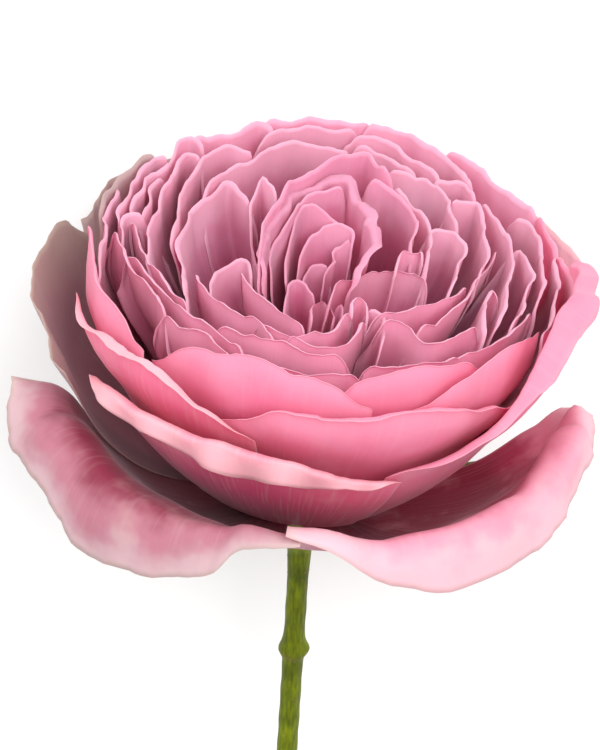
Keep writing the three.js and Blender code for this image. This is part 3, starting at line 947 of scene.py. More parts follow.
def left_fan() -> list[CupPetal]:
    """Describes the petals on the left, the outermost first.

    Returns:
        The petals.
    """
    return [
        standing("left_1", [(-44, -10), (-44, -14), (-42.6, -18), (-40.5, -22), (-39.4, -26),
            (-38.6, -28), (-37, -29)], finish=AGED_AND_SHADED, curl=1.0),
        standing("left_2", [(-42.9, 9.3), (-43.6, 2), (-43.7, -4.2), (-43.4, -8.4), (-42.9, -12),
            (-42.3, -14.8)]),
        standing("left_between_1", [(-40.6, -2), (-40.8, -4.8), (-40, -6.8), (-38.9, -7.6),
            (-37.6, -7.7)], small=True),
        standing("left_3", [(-41, -6), (-41.3, -8.6), (-40.8, -12.5), (-39.8, -17.4),
            (-38.8, -20.5), (-38.1, -23.9), (-37, -27), (-36, -28.8), (-34.8, -29.2)]),
        standing("left_4", [(-39.2, -8.6), (-39.5, -11.4), (-38.7, -14.8), (-37.9, -17),
            (-37.3, -20), (-36.2, -22.5), (-35.1, -24.4), (-34.1, -27.4), (-33, -30.2),
            (-32, -33.5), (-31.1, -35.9), (-30, -36.8), (-28.8, -35.6)]),
        standing("left_between_2", [(-37, -9), (-36.8, -12.1), (-36.5, -15.6), (-36, -19.4),
            (-35, -22.6)], -0.5, small=True),
        standing("left_5", [(-41.9, -1.1), (-40.7, 2), (-39, 4.7), (-37.1, 7.9), (-34.5, 12.3),
            (-32.3, 16.4), (-31, 19.4), (-30, 21.4)]),
        standing("left_6", [(-33.7, 6.1), (-34.4, 0), (-34.7, -5.9), (-34.7, -10), (-34.5, -14),
            (-34, -18.4), (-33.2, -21.8), (-32.6, -25.6), (-31.8, -29), (-31, -31.4), (-30, -32.2),
            (-28.9, -31)]),
        standing("left_7", [(-29.6, -3.7), (-30.1, -9.8), (-30.3, -15.1), (-30.2, -20),
            (-29.6, -24), (-28.7, -27.6), (-27.2, -30.8), (-25.2, -34.2), (-23, -36.6),
            (-21.2, -36), (-18.9, -35.6)]),
        standing("left_8", [(-38.3, -5), (-36.7, 0.4), (-33.9, 5.8), (-31.2, 11.2), (-28.3, 16),
            (-25.8, 19)]),
        standing("left_9", [(-37.3, 6.2), (-36.2, 6.6), (-34.2, 9.8), (-31.9, 13.8), (-29.6, 17),
            (-27.2, 20), (-24.8, 21.8), (-22, 23.3), (-19.4, 26.2), (-17.1, 28.3), (-14.8, 30)]),
        standing("left_10", [(-25.1, 18), (-26.5, 13.3), (-27.6, 6.9), (-28.1, 2), (-28.1, -3.8),
            (-27.8, -8.7), (-26.9, -13.5), (-25.2, -17.8), (-23.2, -21.6), (-21.9, -23.6),
            (-20.8, -23.8), (-19.4, -22.6), (-17.6, -20.8)], -1, curl=0.9),
        standing("left_11", [(-12.3, 2.2, -7.8), (-13.9, -4.6, -6.5), (-15.8, -10.8, -4.1),
            (-16.4, -15.3, -3), (-16.4, -19.2, -1.9), (-15.6, -21.6, -0.2), (-14.6, -23.7, 1.6),
            (-13.6, -22, 1.3), (-12.7, -19.5, 0.5)], curl=0.35, frill=0.1, tail=2.0),
        standing("left_12", [(-25.6, -19.7), (-25.6, -22.4), (-24.4, -24), (-23.1, -25),
            (-21.6, -26.6), (-20.1, -28.8), (-18.5, -31.4), (-16.6, -34.2), (-14.4, -36.6),
            (-12, -38.7), (-9.4, -40.6), (-7, -41.2), (-4.2, -40.3), (-2, -39.6), (-0.2, -38.8)]),
        standing("left_between_3", [(-29.2, 23), (-27.2, 24), (-25.2, 25.3), (-22.8, 26.6),
            (-20.3, 28.4), (-18, 31), (-15.9, 33)], small=True),
    ]


def back_row() -> list[CupPetal]:
    """Describes the petals at the back, the outermost first.

    Returns:
        The petals.
    """
    return [
        standing("back_1", [(-29, -38), (-27.5, -39.2), (-25.4, -39.8), (-23, -40.6),
            (-21.2, -42.2), (-19.8, -44), (-18.6, -45.6), (-17.2, -45.8), (-15.8, -44.8)],
            curl=0.9),
        standing("back_2", [(-16.6, -47.2), (-13.3, -47.6), (-10.9, -48.4), (-8.4, -49.4),
            (-5.6, -50.3), (-3, -51), (-0.3, -51.2), (1.8, -51.4), (3.6, -52.2)], curl=0.9),
        standing("back_between_1", [(-15.6, -42.6), (-12.4, -44.4), (-9, -46), (-5, -47.2),
            (-1.5, -48), (1.5, -48.8)], small=True),
        standing("back_3", [(4.6, -50.6), (7.5, -50.6), (10.2, -49.9), (13.2, -48.6), (16, -46.6),
            (18.6, -43.8), (21, -41.2), (23.3, -38.6), (25, -36.4), (26.2, -34.6)], curl=0.9),
        standing("back_4", [(2, -46), (5.5, -46.2), (9.2, -45.3), (12.3, -43.4), (15, -40.8),
            (17.2, -38), (19, -35.6)]),
        standing("back_between_2", [(3, -42.8), (6, -42.6), (9, -41.6), (12, -39.6), (14.4, -37)],
            -0.5, small=True),
    ]


def right_fan() -> list[CupPetal]:
    """Describes the petals on the right, from the inside out.

    Returns:
        The petals.
    """
    return [
        standing("right_1", [(11.4, -28.6), (13, -26), (14.8, -23), (16.5, -20.9), (17.9, -18.9),
            (18.9, -16.3), (19.3, -11.9), (19.1, -6.3)]),
        standing("right_2", [(10.6, -34.5), (12.6, -34.3), (14.8, -34), (16.9, -33.6),
            (18.4, -32.2), (19.8, -31), (20.9, -29.2), (21.9, -26.6), (22.9, -23.2), (23.6, -20.6),
            (24.2, -18.2)]),
        standing("right_3", [(19.6, -16.2), (20.6, -17), (22, -16.7), (23.4, -16), (24.3, -14),
            (25.4, -12.6), (25.2, -9.8), (24.5, -5.9), (24, -1.4), (23.4, 1.4)], -0.3, curl=0.4),
        standing("right_4", [(23.4, -26.6), (25, -26.8), (26.6, -27.2), (27.9, -27.6),
            (28.6, -24.2), (29.1, -19.8), (29.4, -14.3), (29.5, -9.4), (29.2, -4.6)]),
        standing("right_5", [(19.6, -34.4), (21, -34.7), (22.6, -34.8), (24.2, -34.6), (25.4, -34),
            (26.4, -32.6), (27.2, -30.4)]),
        standing("right_6", [(29.4, -27.4), (30.6, -25), (31.9, -21.1), (33, -18), (34.3, -15.9),
            (35.1, -12.8), (35.3, -8), (35, -1.2), (34.4, 4.9), (33.2, 10.9)]),
        standing("right_7", [(21.2, -44.6), (22.8, -43.2), (25.2, -41.4), (27.8, -39.2),
            (30.6, -36.2), (33.4, -33), (36.3, -29.4), (38.9, -26.4)], curl=0.9),
        standing("right_8", [(40, -24.4), (41.7, -20.9), (43, -17), (44, -14), (45.1, -10.4),
            (46, -5.7), (46.4, 0), (46, 6)], finish=OUTSIDE, curl=0.9),
        standing("right_9", [(35.6, -25.2), (37, -23.8), (38.4, -21.3), (39.7, -18.8),
            (40.8, -16.6), (41.3, -13.8), (41.4, -10), (41.2, -5.8), (40.8, -1), (40.2, 4)]),
        standing("right_between_1", [(31, 14.3), (30.6, 11), (30.9, 6.5), (31.4, 1.9), (32.3, -0.6),
            (33.4, 0.4)], -1, small=True),
        standing("right_between_2", [(36.4, -13), (37.4, -13.2), (38.2, -11.2), (38.6, -8),
            (39.2, -5.9), (39.3, -3.2), (38.4, -0.2), (37.8, 3.6), (37, 7.7), (35.6, 12.2)],
            small=True, curl=0.4),
        standing("right_between_3", [(43.8, -12), (43.7, -6), (43.5, -1), (43.3, 4), (42.6, 9.5),
            (41.6, 14.5)], small=True),
    ]


def inside_front() -> list[CupPetal]:
    """Describes the petals inside the front of the cup.

    Returns:
        The petals.
    """
    return [
        standing("front_1", [(10.1, 30.4), (12.5, 30.6), (15.3, 29.8), (18.9, 28.4), (22.6, 26.6),
            (25.6, 24.6), (28.3, 22.4), (31, 20), (33.8, 16.8), (36.2, 13), (38.2, 8.4)]),
        standing("front_2", [(-11.2, 20.6), (-8.4, 21.8), (-5.5, 22.4), (-2.9, 21.9), (-1.6, 20.6),
            (-0.6, 19.8), (0.6, 20), (2.4, 19.4), (3.7, 17.4), (4.6, 15.4), (5.3, 13.8)], -1.5,
            curl=0.4),
        standing("front_between_1", [(-15.8, 4), (-14.9, 5.8), (-13.9, 7.6), (-12.7, 9.2),
            (-11.1, 11.2), (-9.4, 12.6), (-7.4, 14.6), (-5.4, 17.1), (-3.6, 18.6)], -2, small=True,
            curl=0.35),
        standing("front_between_2", [(-4.5, 24.6), (-1.2, 25.3), (2.2, 24.9), (4.5, 23),
            (6.2, 20.6), (7.4, 18.6), (7.9, 16.6)], -1, small=True, curl=0.4),
        standing("front_between_3", [(-17.9, 24.4), (-14.5, 25.6), (-11.7, 26.4), (-8.9, 27.2),
            (-5.3, 28), (-2.5, 28.8), (0.4, 29.2), (4.1, 29)], small=True),
        standing("front_between_4", [(-12, 33), (-7, 33.6), (-2, 34.2), (3, 34.3), (7.5, 33.8)], -1,
            small=True),
        standing("front_3", [(12.2, 16.2), (13.8, 16), (15.6, 16.8), (17.6, 18.6), (20, 20.6),
            (22.5, 20.9), (24.4, 18.9), (26.1, 16.6), (28, 15), (29.2, 14.4)]),
        standing("front_4", [(18.6, 16), (22.2, 12), (24.9, 8.2), (26.6, 5), (27.7, 1.6),
            (28.4, -1.9), (29.4, -5.5), (30.4, -9), (31.4, -11.6)], -1, curl=0.5),
        standing("front_5", [(10.8, 12.4), (14.5, 10.4), (18, 8.6), (20.8, 6.8), (22.8, 5),
            (24.2, 3.6), (25.2, 2.2), (26.2, 0.8)], -1, curl=0.35),
        standing("front_6", [(0.8, 5), (1.6, 2), (2.6, -0.4), (4.5, -1.6), (6.7, -3), (9.3, -4.2),
            (12, -4.6), (14.3, -4.2), (15.9, -4.2), (17, -5), (18.4, -5), (19.4, -3.4)], -3, HEART,
            curl=0.5, frill=0.12, thick=0.42),
        standing("front_7", [(-25.2, 7.7), (-24.6, 9.9), (-23.2, 11.9), (-21.5, 13.8),
            (-18.4, 15.9), (-15.4, 17.9), (-12.6, 19.8), (-10.2, 22.6), (-8.4, 25)], -1, curl=0.4),
        standing("front_8", [(-22.2, 10.4), (-22.3, 7.3), (-21.8, 4.2), (-20.6, 1.4), (-18.9, -0.6),
            (-17, -1.2), (-15.9, -0.3), (-15.2, 1.2)], -3, curl=0.45, tail=2.5),
        standing("front_between_5", [(5.7, 11.7), (5.4, 9.4), (6.3, 7.9), (7.6, 7.7), (8.6, 9.1),
            (8.8, 11.6)], -2, small=True, curl=0.35, frill=0.1, tail=1.5),
        standing("front_between_6", [(9.4, 10.6), (10.6, 11), (11.3, 12.6), (11.4, 15),
            (11.8, 17.4), (11.6, 20.6)], -2, small=True, curl=0.35, frill=0.1, tail=1.5),
        standing("front_between_7", [(-7.7, 5.3), (-7.2, 0.9), (-6.7, -2.6), (-5.9, -3.6),
            (-5, -3.2), (-4.2, -2.6), (-3.4, -1), (-2.6, 0)], -7, HEART, small=True, curl=0.3,
            frill=0.1, tail=2.0),
        standing("front_between_8", [(-2.6, 9.5), (-3, 5.6), (-2.1, 3), (-0.7, 1.6), (0.4, 2.4),
            (1.6, 4.2), (2.4, 6.6), (2.4, 9.3)], -7, HEART, small=True, curl=0.4, frill=0.1,
            tail=2.0),
        standing("front_between_9", [(13.2, -1), (13.2, -3), (14, -6.4), (15, -8), (16.1, -7.8),
            (17, -7.4), (18.2, -8.3), (18.4, -6.4)], small=True, curl=0.35, frill=0.1, tail=1.0),
    ]


def folded_heart() -> list[CupPetal]:
    """Describes the folded petals of the heart, the outermost first.

    Returns:
        The petals.
    """
    fine = {"frill": 0.12, "finish": HEART}
    return [
        standing("heart_3", [(-13, 0.6), (-13.5, -4.7), (-13.3, -9), (-12.3, -14), (-10.6, -19.4),
            (-8.8, -23.8), (-6.4, -27.6), (-3.2, -31.4), (-0.6, -33.6), (1.9, -35.6), (4.2, -37),
            (5.8, -35.6), (7.6, -32.9), (9.4, -31)], 2, curl=0.7, **fine),
        standing("heart_2", [(7.6, -29), (9.2, -28.6), (10.8, -26.8), (12.4, -24.2), (14, -21.7),
            (15.3, -18.6), (15.8, -15.6), (15.7, -11.7), (16.1, -9)], 0.5, curl=0.6, **fine),
        standing("heart_1", [(-12, 2, -1), (-12.4, -3.6), (-12, -9.4), (-10.8, -14.4), (-9, -19.4),
            (-6.6, -23.6), (-3.6, -27.4), (-1, -29), (1.2, -29), (3, -26.5), (4.6, -22.2),
            (6.2, -16.5), (7.3, -11.2), (6.6, -7.5), (5.6, -4, -0.5), (4.9, 0, -1.5)], curl=0.9,
            roll=110, hang=(0.2, 0.3, 0.5, 0.9, 0.9, 0.5), frill=0.55, finish=HEART, tail=2.0),
        standing("heart_4", [(-11, -5.4, -6.1), (-11.4, -7.5, -4.8), (-10.9, -10.6, -3.1),
            (-9.9, -13, -1.8), (-8.5, -15.8, -1.2), (-7.5, -18.2, -0.4), (-5.9, -20.6, 0.4),
            (-4, -23, 0.9), (-2, -24.6, 1), (0.3, -25.6, 0.9)], curl=0.35, **fine),
        standing("heart_5", [(-7.4, -3.7, -7.2), (-8.1, -8.1, -6.1), (-8.3, -11.8, -5),
            (-8, -14.8, -3.3), (-7.1, -17.6, -1.6), (-5.9, -19, -0.2), (-4.5, -19.6, -0.8),
            (-2.6, -19.8, -1.3), (-0.5, -19.6, -2.2), (1.3, -19, -3.1)], curl=0.35, **fine),
        standing("heart_between_1", [(-5.6, -9.1, -6.4), (-4.8, -12.3, -5.2), (-3.7, -14.6, -3.9),
            (-2.1, -16, -3.1), (-0.2, -17, -2.7), (1.7, -17.3, -2.2), (3.3, -16.8, -2.7),
            (4.1, -15.6, -3.6), (4.2, -13.6, -4.9)], small=True, curl=0.3, tail=1.5, **fine),
        standing("heart_between_2", [(3.6, -14, -4), (2.4, -14, -5.5), (1.3, -13.4, -5.9),
            (1.3, -12.8, -6.8), (1.7, -11.8, -7.2), (0.6, -11, -8.1), (-0.4, -9.6, -9),
            (-0.6, -7.1, -10.2)], small=True, curl=0.3, tail=1.0, **fine),
        standing("heart_between_3", [(-4.4, -9.6, -10.1), (-3.9, -11.3, -9.3), (-2.9, -12.4, -8.3),
            (-1.4, -12.8, -8.4), (-0.2, -12.4, -8.8), (0.4, -11.8, -9.8)], small=True, curl=0.3,
            tail=1.5, **fine),
        standing("heart_between_4", [(2.9, 4.5, -6.6), (3.4, 4.2, -6.1), (3.9, 6, -6.4),
            (3.7, 8.2, -7.7)], small=True, curl=0.3, tail=1.0, **fine),
    ]


def cup_front() -> list[CupPetal]:
    """Describes the petals that close the front of the cup, the innermost first.

    Returns:
        The petals.
    """
    calm = {"ragged": 0.5, "frill": 0.1}
    return [
        ringed("crest_middle", (40.3, 40.3), (3, 52), [44, 50.5, 52, 51, 46], curl=0.4, roll=45,
            **calm),
        ringed("crest_left", (42, 42), (-46, 16), [42, 50, 52.5, 50.5, 44], curl=0.4, roll=45,
            **calm),
        ringed("crest_right", (43, 42.8), (25, 72), [44, 50, 53, 49], curl=0.4, roll=45, **calm),
        ringed("cup_front", (45.3, 45.3), (-22, 62), [38, 45, 45, 46.5, 43, 38], curl=0.6, roll=80,
            hang=(0, 0.5, 0.9, 0.7, 0.5, 0.3), **calm),
        ringed("cup_left", (46.6, 44.9), (-98, -45), [46, 54, 52.5, 50, 45], **calm),
        ringed("cup_right", (49.5, 47), (22, 100), [29, 34.5, 42, 55, 58, 57, 53], curl=0.9,
            roll=105, hang=(0.0, 0.6, 1.0, 3.4, 4.4, 3.4, 1.6), **calm),
        ringed("lip_left", (48.4, 46.8), (-76, -12), [44, 43.8, 45.5, 46.2, 41.5, 36], finish=LIP,
            curl=0.6, roll=95, hang=(0.2, 0.8, 1.5, 0.9, 0.4, 0.1), **calm),
        ringed("lip_front", (51.8, 51.2), (-59, 26), [34, 38, 37.6, 38, 36.6, 32, 28], finish=LIP,
            curl=1.3, roll=150, hang=(0.8, 3.4, 3.2, 6.8, 5.2, 1.6, 0.0), thick=0.5, **calm),
    ]


# ---- Guard petals and sepals ------------------------------------------------------------------


@dataclass
class GuardPetal:
    """A spread petal outside the cup, drawn as profiles at a few azimuths.

    Attributes:
        name: Its name, which is its CAD node's too.
        stations: Azimuth and the outer profile points [radius, height] there.
        finish: What its skin is like.
        press: How much further out it lies where the table flattens it, or 0.
        thick: Millimetres through the petal.
        ragged: Millimetres that its edge wanders.
        inner: True where it lies between the cup and the other guards.
    """

    name: str
    stations: list[tuple[float, list[tuple[float, float]]]]
    finish: PetalFinish
    press: float = 0.0
    thick: float = 0.5
    ragged: float = 0.5
    inner: bool = False

    # Profiles [radius, height] that a petal follows under the cup, before its own points.
    OUTER_HUG = [(6.8, -0.9), (16.5, 1.0), (26, 3.8), (35.5, 8.8), (43, 15.6)]
    INNER_HUG = [(6.8, 0.0), (17.2, 2.1), (26, 4.9), (34.8, 9.8), (42.2, 16.6)]
    ROWS = 46
    COLUMNS = 72
    WANDER = ((17, 0.8), (7, 0.4), (2.9, 0.2))  # Ripples in plan: length and share.
    SWELL = ((23, 0.9), (12, 0.5))  # Ripples in height: length and share.
    FOOT_SHARE = 0.78  # Width of the foot, against the petal's full width.
    REACH = 56.0  # Usual radius of the edge, which ripples are spaced along.
    HEAVE = 0.8  # Millimetres that the outer half rises and dips.
    PRESS_RUN = 1.6  # How early along its length the petal is pressed flat.
    RIM_THINNING = 0.55  # Share of the thickness that is gone at the rim.
    SIDE_SHARE = 0.5  # Share of the thickness at the sides.

    def sheet(self) -> Sheet:
        """Spreads the petal between its profiles, then ripples and flattens it.

        Returns:
            The petal as a sheet in the flower's frame.
        """
        chance = np.random.default_rng(len(self.name) * 31 + int(abs(self.stations[0][0])))
        hug = self.INNER_HUG if self.inner else self.OUTER_HUG
        profiles = np.array([spline(np.array(hug + list(tail), float), self.ROWS)
                             for _, tail in self.stations])
        turns = np.array([turn for turn, _ in self.stations], float)
        u = np.linspace(0, 1, self.COLUMNS)
        wide = spline(np.column_stack([turns, profiles.reshape(len(turns), -1)]), self.COLUMNS)
        middle, half = (wide[0, 0] + wide[-1, 0]) / 2, (wide[-1, 0] - wide[0, 0]) / 2
        grid = wide[:, 1:].reshape(self.COLUMNS, self.ROWS, 2)
        v = np.linspace(0, 1, self.ROWS)
        narrow = self.FOOT_SHARE + (1 - self.FOOT_SHARE) * smooth(v, 0.0, 0.5)
        turn = middle + (wide[:, 0] - middle)[:, None] * narrow[None, :]
        radius, height = grid[..., 0].copy(), grid[..., 1].copy()
        edge = smooth(v, 0.7, 1.0)[None, :]
        length = 2 * math.radians(half) * self.REACH
        wander = sum(size * np.sin(2 * math.pi * (u * length / wave + chance.random()))
                     for wave, size in self.WANDER)
        swell = sum(size * np.sin(2 * math.pi * (u * length / wave + chance.random()))
                    for wave, size in self.SWELL)
        radius += self.ragged * wander[:, None] * edge ** 2
        height += self.HEAVE * swell[:, None] * smooth(v, 0.45, 1.0)[None, :]
        if self.press:
            away = np.radians(180 - np.abs(turn))
            flat = np.minimum(1 / np.cos(away), self.press)
            radius *= 1 + (flat - 1) * np.minimum(1, v * self.PRESS_RUN)[None, :]
        x = radius * np.sin(np.radians(turn))
        f = radius * np.cos(np.radians(turn))
        points = np.stack([x, f, height], axis=-1)
        late = smooth(v, 0.6, 1.0)[None, :]
        sides = self.SIDE_SHARE + (1 - self.SIDE_SHARE) * (1 - np.abs(2 * u - 1)[:, None] ** 8)
        thickness = self.thick * (1 - self.RIM_THINNING * late) * sides
        return Sheet(points, thickness, flip=True)


def under_profile(low: float) -> list[tuple[float, float]]:
    """Returns the profile of a guard petal under the cup, its edge lowered by low."""
    return [(51, 27), (53.3, 36 - low * 0.3), (54, 44 - low)]


def guards() -> list[GuardPetal]:
    """Describes the five guard petals.

    Returns:
        The petals.
    """
    return [
        GuardPetal("petal_guard_left", [
            (-75, [(47.5, 21.5), (51, 24), (55.5, 25), (60, 26)]),
            (-68, [(47.3, 21.3), (52, 24.5), (57, 24.5), (61, 20.5)]),
            (-61, [(47.2, 20.8), (52, 23.5), (57.5, 21.5), (60.5, 14.5)]),
            (-53, [(47, 20), (52, 22), (56, 18.5), (58, 12)]),
            (-45, [(47, 19), (52, 20.5), (56.5, 15), (58, 7.5)]),
            (-36, [(47, 17.5), (52, 19), (56, 14), (57.5, 6.5)]),
            (-26, [(47, 17.5), (51.5, 19), (55, 15.5), (57, 9)]),
            (-16, [(47, 18), (51, 20.5), (54, 17.5), (56, 13)]),
            (-8, [(47, 18.5), (50.5, 21.5), (53, 21), (54.5, 19)]),
            (1.5, [(47, 18.6), (50, 21.8), (52.5, 23), (54.3, 22.6)])], SHADED),
        GuardPetal("petal_guard_right", [
            (-1.5, [(47, 19.2), (50, 22.7), (52.5, 24), (54.5, 23.4)]),
            (9, [(47, 19), (50.5, 22.5), (53, 22), (54.5, 20)]),
            (18, [(47, 19), (51, 22), (54, 19.5), (55, 16)]),
            (29, [(47, 19), (51, 22), (54.5, 18), (56, 12)]),
            (39, [(47, 19), (51.5, 22.5), (55, 18.5), (56.5, 12)]),
            (49, [(47, 19), (51.5, 24), (55.5, 20), (57, 13)]),
            (56, [(47, 19.5), (52, 26), (56, 24), (58, 17.5)]),
            (62, [(47, 20.5), (51.8, 30), (57, 30.5), (58.5, 22)]),
            (67, [(47.2, 21), (51, 32.5), (55.8, 35), (58.3, 28)]),
            (72, [(47.4, 21.5), (50.3, 31), (53.5, 36), (57, 33.5)]),
            (79, [(47.2, 20.5), (49.6, 26.5), (51.5, 30.5), (54, 31)]),
            (88, [(46.6, 19), (48.8, 23), (50.3, 25.5), (52, 26.5)]),
            (97, [(45.6, 17.6), (47.2, 19.5), (48.6, 21), (50, 22)])], GUARD),
        GuardPetal("petal_guard_back_left", [
            (-63, [(46.6, 23), (49.2, 28), (50.8, 31), (52, 33)]),
            (-70, [(47, 24.5), (50.5, 31), (53, 35), (54.5, 37.5)]),
            (-79, [(47.6, 24), (52, 33), (54.5, 38.5), (56, 42)]),
            (-92, [(48, 22), (52, 34), (54.5, 40), (56, 45)]),
            (-104, [(48, 22), (52, 34), (54, 40), (55, 44)]),
            (-113, [(48, 22), (51.5, 32), (53, 37), (54, 40)]),
            (-118, [(48, 21), (51, 29), (52.5, 33), (53.5, 35)])], AGED_AND_SHADED, inner=True),
        GuardPetal("petal_guard_under_left", [
            (turn, under_profile(low)) for turn, low in
            ((-177, 8.5), (-168, 2), (-158, 0), (-148, 0), (-138, 1.5), (-130, 4), (-124, 9))],
            AGED_AND_SHADED, press=1.13),
        GuardPetal("petal_guard_under_right", [
            (turn, under_profile(low)) for turn, low in
            ((116, 9), (123, 4), (132, 1.5), (144, 0), (156, 0), (168, 2), (176, 8.5))],
            GUARD, press=1.13),
    ]


@dataclass
class Sepal:
    """One of the five green sepals under the guard petals.

    Attributes:
        index: Which of the five, from 0.
        length: Millimetres along its middle.
        width: Millimetres at its foot.
    """

    index: int
    length: float = 32.0
    width: float = 8.0

    COUNT = 5
    FOOT = 6.65  # Millimetres from the axis, just outside the hip.
    THICK = 0.7
    TIP = 0.22  # Half the width of the rounded tip.
    KEEL = 0.09  # How much its sides turn up.
    SWING = 0.9  # Millimetres that it bends to the side.
    RISE = (-3.4, -2.7, -0.9, 1.6, 4.2)  # Heights of its middle at even steps from its foot.
    ROWS = 40
    COLUMNS = 13

    def sheet(self) -> Sheet:
        """Bends the sepal along its rising middle, with a keel and a slight side swing.

        Returns:
            The sepal as a sheet in the flower's frame.
        """
        reach = np.linspace(self.FOOT, self.FOOT + self.length, len(self.RISE))
        spine = spline(np.column_stack([reach, self.RISE]), self.ROWS)
        v = np.linspace(0, 1, self.ROWS)
        u = np.linspace(-1, 1, self.COLUMNS)
        half = self.width / 2 * (1 - v) ** 0.8 * (0.85 + 0.5 * smooth(v, 0, 0.25)) + self.TIP
        half = half * (1 + 0.05 * np.sin(v * 34 + self.index))
        turn = 2 * math.pi * (self.index + 0.5) / self.COUNT
        side = u[:, None] * half[None, :]
        keel = self.KEEL * (side ** 2) / np.maximum(half[None, :], 0.4)
        radius = np.broadcast_to(spine[:, 0], side.shape)
        height = spine[:, 1][None, :] + keel
        bend = self.SWING * np.sin(v * 2.2 + self.index * 1.7)[None, :] * v[None, :]
        x = radius * math.sin(turn) + (side + bend) * math.cos(turn)
        f = radius * math.cos(turn) - (side + bend) * math.sin(turn)
        points = np.stack([x, f, height], axis=-1)
        thin = self.THICK * (1 - 0.6 * v)[None, :] * (1 - 0.45 * np.abs(u)[:, None] ** 3)
        return Sheet(points, thin, flip=True)


# ---- Stem -------------------------------------------------------------------------------------


